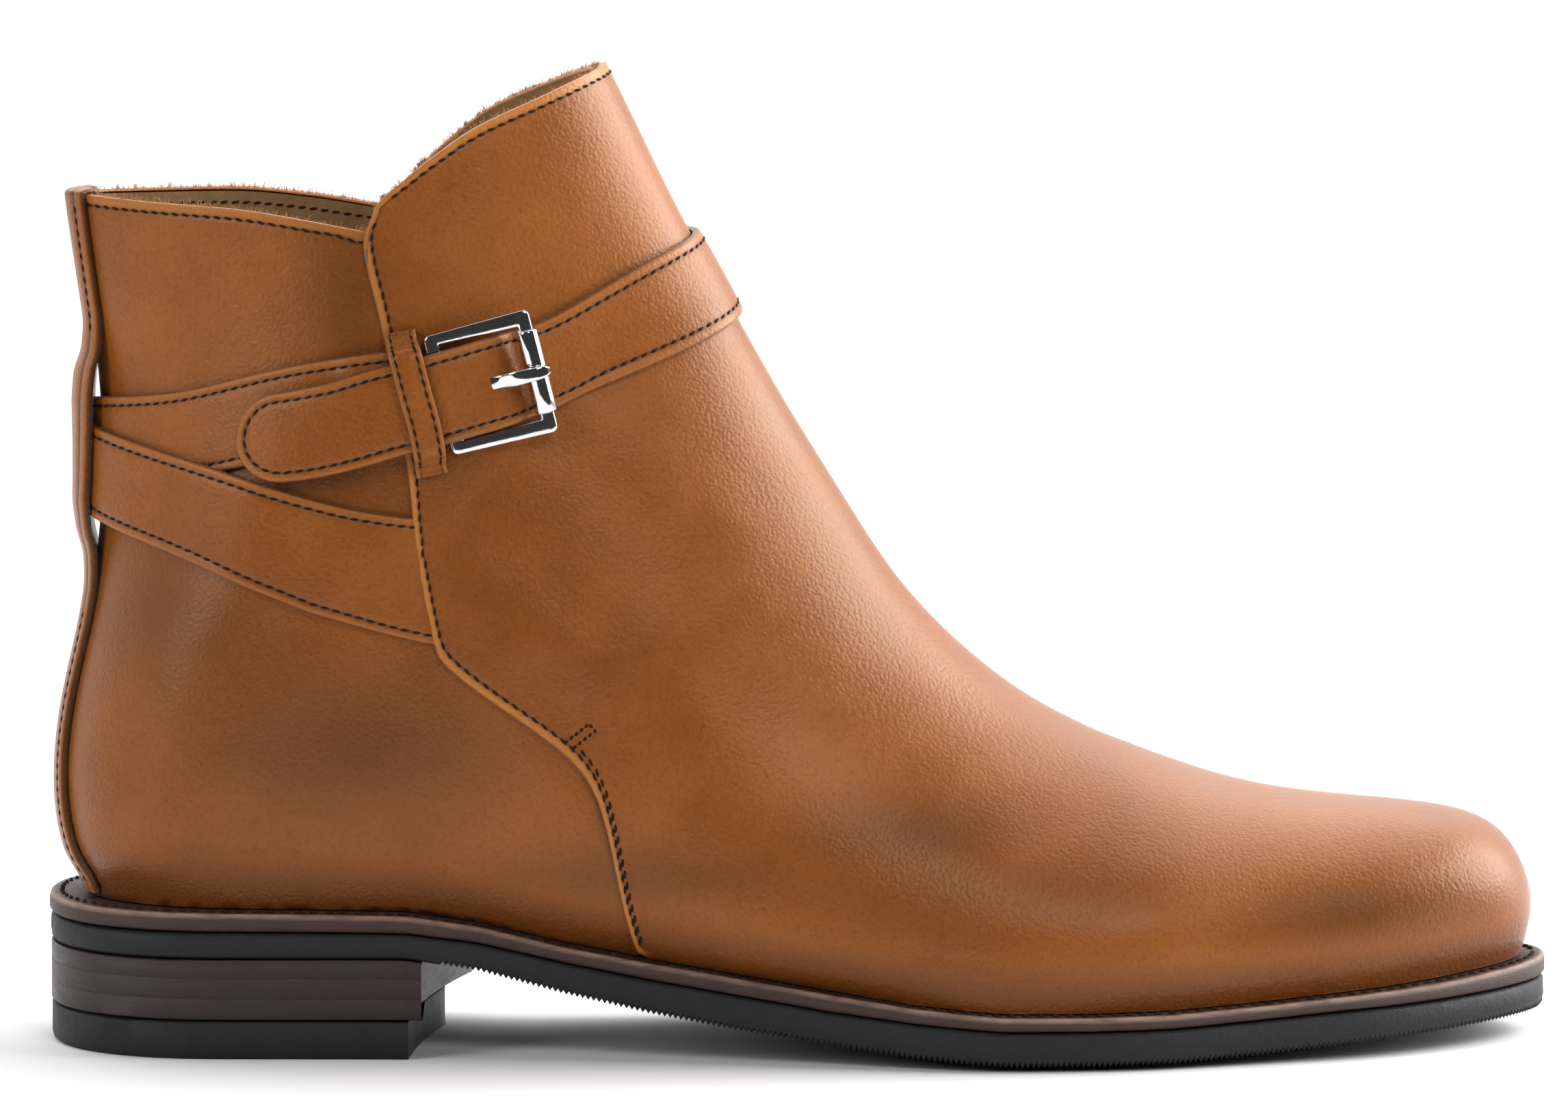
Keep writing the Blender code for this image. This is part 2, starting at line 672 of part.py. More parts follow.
def breast(y):
    """The heel's front edge at y: slanted, further forward on the inner side, and slightly hollow."""
    across = y / (HEEL_HALF * BALL_WIDTH)
    return BREAST_X * LENGTH + BREAST_SLANT * y - BREAST_HOLLOW * (1 - across * across)


def notched_breast(y):
    """The top piece's front edge, with its inner corner cut off."""
    return breast(y) - np.maximum(0.0, y - NOTCH_START * BALL_WIDTH) * NOTCH_SLANT


RUBBER = material("outsole_rubber", (0.035, 0.035, 0.036), 0.6)
WELT_LEATHER = material("welt_leather", (0.09, 0.045, 0.035), 0.45)
HEEL_LEATHER = material("heel_leather", (0.05, 0.03, 0.025), 0.5)
TOP_PIECE_RUBBER = material("top_piece_rubber", (0.03, 0.03, 0.03), 0.6)
CALF = material("tan_calf", (0.35, 0.12, 0.03), 0.35)
LINING = material("insole_leather", (0.3, 0.18, 0.09), 0.7)
STRAP_CALF = material("strap_calf", (0.33, 0.11, 0.03), 0.38)
STEEL = material("plated_steel", (0.8, 0.8, 0.8), 0.12, 1.0)


def make_outsole():
    """The rubber outsole, its underside flat on the floor under the ball."""
    rings = (
        (EDGE_INSET + EDGE_BEVEL, level(underside_level)),
        (EDGE_INSET, level(underside_level, EDGE_BEVEL)),
        (EDGE_INSET, level(seam_level)),
    )
    sole_plate("outsole", STATIONS, rings, RUBBER, crown=SOLE_CROWN)


def make_welt():
    """The brown leather layer on the outsole."""
    rings = (
        (EDGE_INSET, level(seam_level, GAP)),
        (-WELT_PROUD, level(seam_level, EDGE_BEVEL)),
        (-WELT_PROUD, level(top_level, -EDGE_BEVEL)),
        (EDGE_BEVEL, level(top_level)),
    )
    sole_plate("welt", STATIONS, rings, WELT_LEATHER)


def make_heel():
    """The stacked heel, its top following the outsole's underside, and its rubber top piece."""
    stack = (
        (EDGE_INSET, lambda x: TOP_PIECE_HEIGHT + GAP),
        (EDGE_INSET, level(underside_level, -GAP)),
    )
    stations = np.append(HEEL_STATIONS, BREAST_X)
    sole_plate("heel_stack", stations, stack, HEEL_LEATHER, front=breast)
    top_piece = (
        (EDGE_INSET + EDGE_BEVEL, lambda x: 0.0),
        (EDGE_INSET, lambda x: EDGE_BEVEL),
        (EDGE_INSET, lambda x: TOP_PIECE_HEIGHT),
    )
    stations = np.append(HEEL_STATIONS[:-1], BREAST_X)
    sole_plate("heel_top_piece", stations, top_piece, TOP_PIECE_RUBBER, front=notched_breast)


def make_insole():
    """The insole, inside the upper's feather edge."""
    inset = PANEL_STEP + WALL + INSOLE_CLEARANCE
    shell = Shell()
    grids = []
    for lift in (GAP, GAP + INSOLE_THICKNESS):
        grid = []
        for share in STATIONS:
            x, middle, half, z = feather_point((1 - share) * HEEL_REACH, inset)
            if half < TINY:
                grid.append([shell.add((x, middle, z + lift))] * (SOLE_LANES + 1))
                continue
            lanes = np.linspace(-1, 1, SOLE_LANES + 1)
            grid.append([shell.add((x, middle + lane * half, z + lift)) for lane in lanes])
        shell.sheet(grid)
        grids.append(grid)
    for lane in (0, -1):
        shell.sheet([[row[lane] for row in grid] for grid in grids])
    return shell.finish("insole", LINING)


def make_upper():
    """The upper: panel and quarters in one hollow wall, open at the collar and underneath."""
    shell = Shell()
    inner_inset = PANEL_STEP + WALL
    panel = {}
    quarter = {}
    for side in (-1, 1):
        panel_places, quarter_places = lane_places(side)
        for row in range(LAST_ROW + 1):
            for lane in range(PANEL_LANES + 1):
                ridge = lane == 0 and side > 0
                toe_tip = row == 0 and (lane > 0 or side > 0)
                if ridge or toe_tip:
                    panel[side, row, lane] = panel[-1, row, 0]
                    continue
                u = panel_places[row][lane]
                turn = panel_turns(u, side)[lane]
                insets = (0.0, inner_inset)
                panel[side, row, lane] = [shell.add(section_points(u, turn, side, inset)) for inset in insets]
        for row in range(PANEL_ROW, LAST_SHARED + 1):
            for lane in range(QUARTER_LANES + 1):
                if row == PANEL_ROW and lane > 0:
                    quarter[side, row, lane] = quarter[side, row, 0]
                    continue
                if side > 0 and lane == QUARTER_LANES and row >= HEEL_ROW:
                    quarter[side, row, lane] = quarter[-1, row, lane]
                    continue
                u = quarter_places[row][lane]
                turn = quarter_turns(u, side)[lane]
                outer = shell.add(section_points(u, turn, side, PANEL_STEP))
                inner = panel[side, row, PANEL_LANES][1]
                if lane > 0:
                    inner = shell.add(section_points(u, turn, side, inner_inset))
                quarter[side, row, lane] = [outer, inner]
        for skin in (0, 1):
            rows = range(LAST_ROW + 1)
            shell.sheet([[panel[side, row, lane][skin] for lane in range(PANEL_LANES + 1)] for row in rows])
            rows = range(PANEL_ROW, LAST_SHARED + 1)
            shell.sheet([[quarter[side, row, lane][skin] for lane in range(QUARTER_LANES + 1)] for row in rows])
        panel_edge = [panel[side, row, PANEL_LANES] for row in range(LAST_ROW + 1)]
        quarter_edge = {row: quarter[side, row, 0][0] for row in range(PANEL_ROW, LAST_SHARED + 1)}
        for row in range(PANEL_ROW, LAST_SHARED):
            shell.face(panel_edge[row][0], quarter_edge[row], quarter_edge[row + 1], panel_edge[row + 1][0])
        for row in range(LAST_SHARED, LAST_ROW):
            foot = (quarter_edge[row],) if row == LAST_SHARED else ()
            shell.face(panel_edge[row][0], *foot, panel_edge[row][1], panel_edge[row + 1][1], panel_edge[row + 1][0])
        for row in range(PANEL_ROW):
            foot = (quarter_edge[row + 1],) if row == PANEL_ROW - 1 else ()
            shell.face(panel_edge[row][0], panel_edge[row][1], panel_edge[row + 1][1], *foot, panel_edge[row + 1][0])
        feather = [quarter[side, row, QUARTER_LANES] for row in range(PANEL_ROW, HEEL_ROW + 1)]
        collar = [quarter[side, LAST_SHARED, lane] for lane in range(QUARTER_LANES + 1)]
        panel_top = [panel[side, LAST_ROW, lane] for lane in range(PANEL_LANES + 1)]
        for rim in (feather, collar, panel_top):
            shell.sheet([[pair[0] for pair in rim], [pair[1] for pair in rim]])
    return shell.finish("upper", CALF, smooth_angle=35)


# Angles round the leg, from the toe: positive to the inner side, and half a turn at the back seam
LEG_AXIS_X = 0.235 * LENGTH
LEG_ANGLES = np.linspace(-pi, pi, LEG_STEPS)
LEG_HEIGHTS = np.linspace(0.14, 1.0, LEG_LEVELS) * COLLAR_HEIGHT
LEG_START = 10


def leg_distances():
    """How far the quarters' skin lies from the leg's axis, at each angle and height."""
    inner_turns = np.linspace(2, 0, LEG_RING_SAMPLES)
    outer_turns = np.linspace(0, 2, LEG_RING_SAMPLES)[1:]
    turns = np.concatenate((inner_turns, outer_turns))
    sides = np.concatenate((np.ones(len(inner_turns)), -np.ones(len(outer_turns))))
    rings = []
    for u in np.linspace(LEG_START, LAST_SECTION, LEG_RINGS):
        points = section_points(u, turns, sides, PANEL_STEP)
        angles = np.unwrap(np.arctan2(points[:, 1], points[:, 0] - LEG_AXIS_X))
        distances = np.hypot(points[:, 1], points[:, 0] - LEG_AXIS_X)
        order = slice(None, None, -1)
        far = np.interp(LEG_ANGLES, angles[order], distances[order], left=np.nan, right=np.nan)
        high = np.interp(LEG_ANGLES, angles[order], points[order, 2], left=np.nan, right=np.nan)
        rings.append((far, high))
    far = np.array([ring[0] for ring in rings])
    high = np.array([ring[1] for ring in rings])
    grid = []
    for k in range(len(LEG_ANGLES)):
        known = ~np.isnan(far[:, k])
        grid.append(np.interp(LEG_HEIGHTS, high[known, k], far[known, k]))
    return np.array(grid)


LEG_DISTANCES = leg_distances()


def leg_distance(angle, z):
    """The skin's distance from the leg's axis."""
    angle = (angle + pi) % (2 * pi)
    across = np.clip(angle / (LEG_ANGLES[1] - LEG_ANGLES[0]), 0, len(LEG_ANGLES) - 1.001)
    up = np.clip((z - LEG_HEIGHTS[0]) / (LEG_HEIGHTS[1] - LEG_HEIGHTS[0]), 0, len(LEG_HEIGHTS) - 1.001)
    i = across.astype(int)
    j = up.astype(int)
    a = across - i
    b = up - j
    low = LEG_DISTANCES[i, j] * (1 - a) + LEG_DISTANCES[i + 1, j] * a
    high = LEG_DISTANCES[i, j + 1] * (1 - a) + LEG_DISTANCES[i + 1, j + 1] * a
    return low * (1 - b) + high * b


TURN_STEP = 0.03
RISE_STEP = 0.0015


def on_leather(angle, z, lift=0.0):
    """A point that stands off the quarters' skin by lift."""
    angle, z, lift = np.broadcast_arrays(np.asarray(angle, float), np.asarray(z, float), np.asarray(lift, float))

    def skin(angle, z):
        far = leg_distance(angle, z)
        return np.stack((LEG_AXIS_X + far * np.cos(angle), far * np.sin(angle), z), axis=-1)

    round_leg = skin(angle + TURN_STEP, z) - skin(angle - TURN_STEP, z)
    up_leg = skin(angle, z + RISE_STEP) - skin(angle, z - RISE_STEP)
    normal = np.cross(round_leg, up_leg)
    normal = normal / np.linalg.norm(normal, axis=-1, keepdims=True)
    return skin(angle, z) + normal * lift[..., None]


def unit(vectors):
    """The vectors at length one."""
    return vectors / np.maximum(np.linalg.norm(vectors, axis=-1, keepdims=True), TINY)


def across_path(angles, heights, halves, shares):
    """Angles and heights of lanes across a strap, square to its path."""
    path = on_leather(angles, heights)
    along = unit(np.gradient(path, axis=0))
    ahead = on_leather(angles + TURN_STEP, heights) - on_leather(angles - TURN_STEP, heights)
    above = on_leather(angles, heights + RISE_STEP) - on_leather(angles, heights - RISE_STEP)
    outward = unit(np.cross(ahead, above))
    across = unit(np.cross(outward, along))
    across = across * (1 if np.sum(across[:, 2]) > 0 else -1)
    sideways = unit(ahead)
    upward = unit(above)
    far = leg_distance(angles, heights)
    lane_angles = []
    lane_heights = []
    for share in shares:
        reach = share * halves
        lane_angles.append(angles + reach * np.sum(across * sideways, axis=1) / far)
        lane_heights.append(heights + reach * np.sum(across * upward, axis=1))
    return np.array(lane_angles).T, np.array(lane_heights).T


ROOT_GAP = 0.0008
ROOT_LENGTH = radians(30)
EDGE_FROM = 0.2 * pi
EDGE_TO = 0.8 * pi


def edge_angle(side, z):
    """The angle round the leg of the front panel's rear edge at height z."""
    edge_x, edge_z = EDGE_LINES[side]
    angles = side * np.linspace(EDGE_FROM, EDGE_TO, EDGE_STEPS)
    found = []
    for height in z:
        x = LEG_AXIS_X + leg_distance(angles, np.full(len(angles), height)) * np.cos(angles)
        found.append(np.interp(np.interp(height, edge_z, edge_x) - ROOT_GAP, x[::-1], angles[::-1]))
    return np.array(found)


def root_at_panel(lane_angles, lane_heights):
    """The lanes of a strap with their first ends drawn up to the panel's edge."""
    side = np.sign(lane_angles[0, 0])
    shift = edge_angle(side, lane_heights[0]) - lane_angles[0]
    way = np.abs(lane_angles - lane_angles[0]) / ROOT_LENGTH
    return lane_angles + shift * np.clip(1 - way, 0, 1)


def make_band(name, angles, heights, halves, low_lifts, high_lifts, thickness, look, lanes=3, rooted=False):
    """A strap along a path round the leg. Lifts are of its under face, at its lower and its upper edge."""
    shares = np.linspace(-1, 1, lanes)
    lane_angles, lane_heights = across_path(angles, heights, halves, shares)
    if rooted:
        lane_angles = root_at_panel(lane_angles, lane_heights)
    blend = (shares + 1) / 2
    lifts = low_lifts[:, None] * (1 - blend) + high_lifts[:, None] * blend
    under = on_leather(lane_angles, lane_heights, lifts)
    along = unit(np.gradient(under, axis=0))
    across = unit(np.gradient(under, axis=1))
    outward = unit(np.cross(along, across))
    away = under - np.array((LEG_AXIS_X, 0, 0))
    away[..., 2] = 0
    outward = outward * np.sign(np.sum(outward * away, axis=-1, keepdims=True))
    over = under + outward * thickness
    shell = Shell()
    bottom = [[shell.add(point) for point in row] for row in under]
    top = [[shell.add(point) for point in row] for row in over]
    shell.sheet(bottom)
    shell.sheet(top)
    for lane in (0, -1):
        shell.sheet([[row[lane] for row in bottom], [row[lane] for row in top]])
    for row in (0, -1):
        shell.sheet([bottom[row], top[row]])
    return shell.finish(name, look)


# The long strap, from the outer edge of the front panel round the heel, across the front and to its tip.
# turn is in degrees from the toe, round by the outer side. z is in collar heights, half in strap widths,
# and the lifts of its lower and upper edge are in strap thicknesses.
LONG_STRAP = table(
    ("turn", "z", "half", "low_lift", "high_lift"),
    (
        (84, 0.488, 0.73, 0.3, 0.3),
        (92, 0.493, 0.70, 0.3, 0.3),
        (100, 0.499, 0.67, 0.3, 0.3),
        (112, 0.510, 0.62, 0.3, 0.3),
        (125, 0.525, 0.57, 0.3, 0.4),
        (138, 0.542, 0.53, 0.4, 1.5),
        (150, 0.556, 0.51, 0.8, 1.6),
        (165, 0.572, 0.50, 1.4, 1.65),
        (180, 0.590, 0.50, 1.6, 1.65),
        (200, 0.612, 0.50, 1.65, 1.65),
        (217, 0.629, 0.50, 1.65, 1.2),
        (235, 0.646, 0.50, 1.5, 0.7),
        (250, 0.661, 0.50, 0.7, 0.5),
        (266, 0.681, 0.50, 1.35, 1.35),
        (290, 0.715, 0.49, 1.35, 1.35),
        (315, 0.749, 0.47, 1.3, 1.3),
        (337, 0.771, 0.46, 1.3, 1.3),
        (360, 0.779, 0.456, 1.3, 1.3),
        (383, 0.739, 0.43, 1.3, 1.3),
        (401, 0.705, 0.45, 1.3, 1.3),
        (407, 0.698, 0.48, 1.5, 1.5),
        (414, 0.692, 0.50, 3.4, 3.4),
        (424, 0.684, 0.50, 3.9, 3.9),
        (434, 0.676, 0.50, 3.8, 3.8),
        (444, 0.668, 0.50, 3.1, 3.1),
        (455, 0.660, 0.50, 2.6, 2.6),
        (468, 0.648, 0.50, 2.4, 2.4),
        (485, 0.635, 0.50, 1.7, 1.7),
        (499, 0.627, 0.50, 1.6, 1.6),
    ),
)

# The short strap, from the inner edge of the front panel round the heel to the buckle's hidden bar
SHORT_STRAP = table(
    ("turn", "z", "half", "low_lift", "high_lift"),
    (
        (-86, 0.489, 0.73, 0.3, 0.3),
        (-97, 0.499, 0.69, 0.3, 0.3),
        (-106, 0.513, 0.65, 0.3, 0.3),
        (-122, 0.538, 0.57, 0.3, 0.3),
        (-145, 0.572, 0.52, 0.3, 0.3),
        (-165, 0.597, 0.50, 0.3, 0.3),
        (-180, 0.612, 0.50, 0.35, 0.45),
        (-203, 0.628, 0.50, 0.3, 0.3),
        (-217, 0.643, 0.50, 0.3, 0.3),
        (-232, 0.658, 0.50, 0.3, 0.3),
        (-247, 0.668, 0.50, 0.4, 0.4),
        (-257, 0.673, 0.50, 1.2, 1.2),
        (-268, 0.677, 0.50, 1.3, 1.3),
        (-281, 0.683, 0.50, 1.3, 1.3),
    ),
)
NARROW_ENDS_OF_LEG = 24
FINE_STEP = 2.4
COARSE_STEP = 7.0
TIP_STEPS = 5
TIP_BLUNT = 0.02


def strap_stops(first, last):
    """Turns along a strap in degrees, close together where the leg is narrow, at its front and back."""
    stops = [first]
    way = 1 if last > first else -1
    while way * (last - stops[-1]) > FINE_STEP:
        from_end = abs((stops[-1] + 90) % 180 - 90)
        step = FINE_STEP if from_end < NARROW_ENDS_OF_LEG else COARSE_STEP
        stops.append(stops[-1] + way * step)
    stops[-1] = last
    return np.array(stops)


def strap_path(rows):
    """A strap table as smooth arrays: angles, heights, half widths and the lifts of both edges."""
    way = np.abs(rows["turn"] - rows["turn"][0])
    turn = strap_stops(rows["turn"][0], rows["turn"][-1])
    places = np.abs(turn - turn[0])
    smooth = [natural_spline(way, rows[name])(places) for name in ("z", "half")]
    steady = [steady_spline(way, rows[name])(places) for name in ("low_lift", "high_lift")]
    return (
        -np.radians(turn),
        smooth[0] * COLLAR_HEIGHT,
        smooth[1] * STRAP_WIDTH,
        steady[0] * STRAP_THICKNESS,
        steady[1] * STRAP_THICKNESS,
    )


def rounded_tip(path, radius):
    """The path with its last stretch narrowed to a half-round tip."""
    angles, heights, halves, low, high = path
    points = on_leather(angles, heights)
    way = np.concatenate(([0.0], np.cumsum(np.linalg.norm(np.diff(points, axis=0), axis=1))))
    total = way[-1]
    straight = way[way < total - radius]
    curve = total - radius + radius * np.sin(np.linspace(0, pi / 2, TIP_STEPS))
    stops = np.concatenate((straight, curve))
    new = [np.interp(stops, way, values) for values in path]
    narrow = np.sqrt(np.clip(1 - (np.clip(stops - (total - radius), 0, None) / radius) ** 2, TIP_BLUNT, 1))
    new[2] = new[2] * narrow
    return new


def make_straps():
    """Both straps, the long one with the hole that the prong goes through."""
    long_path = rounded_tip(strap_path(LONG_STRAP), STRAP_WIDTH / 2)
    long_strap = make_band("strap_long", *long_path, STRAP_THICKNESS, STRAP_CALF, rooted=True)
    make_band("strap_buckle", *strap_path(SHORT_STRAP), STRAP_THICKNESS, STRAP_CALF, rooted=True)
    hole = make_prong("prong_hole", PRONG_RADIUS + GAP, cutters)
    hole.hide_render = True
    hole.display_type = "WIRE"
    cut = long_strap.modifiers.new("prong_hole", "BOOLEAN")
    cut.operation = "DIFFERENCE"
    cut.solver = "EXACT"
    cut.object = hole


# The strip over the back seam, from the welt up to its loop and on to the collar. z is in collar heights,
# half in its widths, and lift, of its under face, in its thicknesses.
BACKSTAY = table(
    ("z", "half", "lift"),
    (
        (0.158, 1.10, 0.24),
        (0.200, 0.98, 0.24),
        (0.260, 0.84, 0.24),
        (0.330, 0.70, 0.24),
        (0.400, 0.58, 0.24),
        (0.455, 0.52, 0.32),
        (0.495, 0.49, 1.10),
        (0.525, 0.47, 2.60),
        (0.560, 0.45, 3.38),
        (0.605, 0.43, 3.42),
        (0.650, 0.42, 3.35),
        (0.685, 0.41, 2.70),
        (0.712, 0.40, 1.15),
        (0.745, 0.39, 0.32),
        (0.800, 0.38, 0.24),
        (0.876, 0.37, 0.24),
    ),
)
BACKSTAY_ROWS = 26
BACKSTAY_LANES = 5

# The fold's corner over the rim, in the backstay's thicknesses, and its rows inside, in shares of the fold
FOLD_RISE = 0.8
FOLD_SIDE = 0.6
FOLD_ROWS = (0.25, 1.0)


def make_backstay():
    """The backstay: up the seam, standing off as a loop over both straps, and folded over the collar."""
    foot = (HEEL_FEATHER_Z + BACKSTAY_CLEARANCE) / COLLAR_HEIGHT
    heights = np.linspace(foot, BACKSTAY["z"][-1], BACKSTAY_ROWS)
    halves = natural_spline(BACKSTAY["z"], BACKSTAY["half"])(heights) * BACKSTAY_WIDTH
    lifts = steady_spline(BACKSTAY["z"], BACKSTAY["lift"])(heights) * BACKSTAY_THICKNESS
    heights = heights * COLLAR_HEIGHT
    rim = heights[-1]
    seat = GAP
    inner_seat = -WALL - FOLD_CLEARANCE
    rows = [(z, half, lift, z, lift + BACKSTAY_THICKNESS) for z, half, lift in zip(heights, halves, lifts)]
    over_rim = rim + BACKSTAY_THICKNESS * FOLD_RISE
    side_step = BACKSTAY_THICKNESS * FOLD_SIDE
    rows.append((rim + GAP, halves[-1], seat, over_rim, seat + side_step))
    rows.append((rim + GAP, halves[-1], inner_seat, over_rim, inner_seat - side_step))
    for drop in FOLD_ROWS:
        z = rim - BACKSTAY_FOLD * drop
        rows.append((z, halves[-1], inner_seat, z, inner_seat - BACKSTAY_THICKNESS))
    shell = Shell()
    faces = []
    for skin in (0, 1):
        grid = []
        for z_under, half, under, z_over, over in rows:
            z, lift = ((z_under, under), (z_over, over))[skin]
            shares = np.linspace(-1, 1, BACKSTAY_LANES)
            angles = pi + shares * half / leg_distance(pi, z)
            grid.append([shell.add(point) for point in on_leather(angles, z, lift)])
        shell.sheet(grid)
        faces.append(grid)
    for lane in (0, -1):
        shell.sheet([[row[lane] for row in grid] for grid in faces])
    for row in (0, -1):
        shell.sheet([grid[row] for grid in faces])
    shell.finish("backstay", STRAP_CALF, smooth_angle=50)


# The keeper, from its upper end down over both straps to its lower end. turn is in degrees from the toe, z in
# collar heights, and lift, of its under face, in its thicknesses.
KEEPER = table(
    ("turn", "z", "lift"),
    (
        (89.0, 0.742, 1.65),
        (88.6, 0.736, 1.80),
        (88.2, 0.730, 3.20),
        (87.6, 0.723, 5.80),
        (86.6, 0.712, 6.50),
        (84.0, 0.681, 6.75),
        (81.0, 0.648, 6.70),
        (79.4, 0.624, 6.50),
        (78.8, 0.614, 5.20),
        (78.4, 0.609, 2.90),
        (78.0, 0.603, 1.70),
        (77.6, 0.597, 1.65),
    ),
)


def make_keeper():
    """The leather loop that holds the strap down beside the buckle."""
    halves = np.full(len(KEEPER["turn"]), KEEPER_WIDTH / 2)
    lifts = KEEPER["lift"] * KEEPER_THICKNESS
    angles = -np.radians(KEEPER["turn"])
    heights = KEEPER["z"] * COLLAR_HEIGHT
    make_band("keeper", angles, heights, halves, lifts, lifts, KEEPER_THICKNESS, STRAP_CALF)


# The buckle's two bars on the leg: the hidden one that the short strap holds, and the one under the roller.
# turn is in degrees from the toe, z in collar heights, and lift, of the bar's axis, in strap thicknesses.
BUCKLE_BARS = table(
    ("turn", "z", "lift"),
    (
        (433.0, 0.679, 2.2),
        (405.0, 0.700, 4.7),
    ),
)
bars = on_leather(
    -np.radians(BUCKLE_BARS["turn"]),
    BUCKLE_BARS["z"] * COLLAR_HEIGHT,
    BUCKLE_BARS["lift"] * STRAP_THICKNESS,
)


def buckle_frame():
    """The buckle's own axes as columns: along the strap, up along its bars and outwards, with its middle."""
    along = Vector(bars[1] - bars[0]).normalized()
    outward = along.cross(Vector((0, 0, 1))).normalized()
    up = outward.cross(along)
    frame = Matrix((along, up, outward)).transposed().to_4x4()
    frame.translation = Vector((bars[0] + bars[1]) / 2)
    return frame


BUCKLE = buckle_frame()
BAR_SPACING = float(np.linalg.norm(bars[1] - bars[0]))


def wire(name, points, radius, cyclic):
    """A round wire through points given on the buckle's axes."""
    curve = bpy.data.curves.new(name, "CURVE")
    curve.dimensions = "3D"
    curve.bevel_depth = radius
    curve.bevel_resolution = 2
    curve.use_fill_caps = True
    spline = curve.splines.new("POLY")
    spline.points.add(len(points) - 1)
    for point, co in zip(spline.points, points):
        point.co = (*co, 1)
    spline.use_cyclic_u = cyclic
    return bpy.data.objects.new(name, curve)


def make_buckle_frame():
    """The buckle's frame of flattened wire, a rectangle with round corners."""
    reach = (BAR_SPACING / 2, BUCKLE_HEIGHT / 2)
    corners = ((1, 1, 0), (-1, 1, 90), (-1, -1, 180), (1, -1, 270))
    points = []
    for side_u, side_v, start in corners:
        centre_u = side_u * (reach[0] - BUCKLE_CORNER)
        centre_v = side_v * (reach[1] - BUCKLE_CORNER)
        for turn in np.radians(start + np.linspace(0, 90, 5)):
            points.append((centre_u + BUCKLE_CORNER * cos(turn), centre_v + BUCKLE_CORNER * sin(turn), 0))
    frame = wire("buckle_frame", points, BUCKLE_WIRE, True)
    frame.matrix_basis = BUCKLE @ Matrix.Diagonal((1, 1, BUCKLE_DEPTH / BUCKLE_WIRE, 1))
    place(frame, parts, STEEL, 40)


def make_roller():
    """The tube that turns on the buckle's outer bar."""
    mesh = bpy.data.meshes.new("buckle_roller")
    half = ROLLER_LENGTH / 2
    inner = ROLLER_RADIUS - ROLLER_WALL
    profile = ((ROLLER_RADIUS, 0, half), (ROLLER_RADIUS, 0, -half), (inner, 0, -half), (inner, 0, half))
    mesh.from_pydata(profile, [(0, 1), (1, 2), (2, 3), (3, 0)], [])
    roller = bpy.data.objects.new("buckle_roller", mesh)
    turned = roller.modifiers.new("turned", "SCREW")
    turned.steps = 20
    turned.render_steps = 20
    turned.use_merge_vertices = True
    turned.merge_threshold = MERGE
    turned.use_smooth_shade = True
    upright = Matrix.Rotation(-pi / 2, 4, "X")
    roller.matrix_basis = BUCKLE @ Matrix.Translation((BAR_SPACING / 2, 0, 0)) @ upright
    place(roller, parts, STEEL, 40)


def make_prong(name, radius, collection):
    """The prong, from the hidden bar up through the strap to its tip on the roller, as a mesh."""
    bar_clear = -BAR_SPACING / 2 + BUCKLE_WIRE + PRONG_RADIUS + GAP
    over_roller = ROLLER_RADIUS + PRONG_RADIUS + GAP
    points = (
        (bar_clear, 0, 0),
        (bar_clear + 1.2 * PRONG_RADIUS, 0, 0.1 * PRONG_RADIUS),
        (PRONG_KNEE * BAR_SPACING, 0, 0.4 * over_roller),
        (BAR_SPACING / 2 - ROLLER_RADIUS, 0, over_roller - 0.1 * PRONG_RADIUS),
        (BAR_SPACING / 2, 0, over_roller),
        (BAR_SPACING / 2 + ROLLER_RADIUS, 0, over_roller - 0.45 * PRONG_RADIUS),
    )
    guide = wire(name, points, radius, False)
    bpy.context.scene.collection.objects.link(guide)
    shape = bmesh.new()
    reader = bpy.context.evaluated_depsgraph_get()
    shape.from_mesh(bpy.data.meshes.new_from_object(guide.evaluated_get(reader)))
    bmesh.ops.remove_doubles(shape, verts=shape.verts, dist=MERGE)
    mesh = bpy.data.meshes.new(name)
    shape.to_mesh(mesh)
    shape.free()
    bpy.data.objects.remove(guide)
    prong = bpy.data.objects.new(name, mesh)
    prong.matrix_basis = BUCKLE
    return place(prong, collection, STEEL, 40)


make_outsole()
make_welt()
make_heel()
make_insole()
make_upper()
make_straps()
make_backstay()
make_keeper()
make_buckle_frame()
make_roller()
make_prong("buckle_prong", PRONG_RADIUS, parts)
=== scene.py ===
"""The look of the jodhpur boot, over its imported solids.

Metres. The forms are worked out as in the part, with x from the back of the outsole, and are moved to the
frame when a mesh is made. Each visible piece is a finer mesh of the same form, with its edges, seams and
stitches.
"""

import bmesh
import bpy
import numpy as np
from math import cos, pi, radians, sin
from mathutils import Matrix, Vector
from mathutils.bvhtree import BVHTree


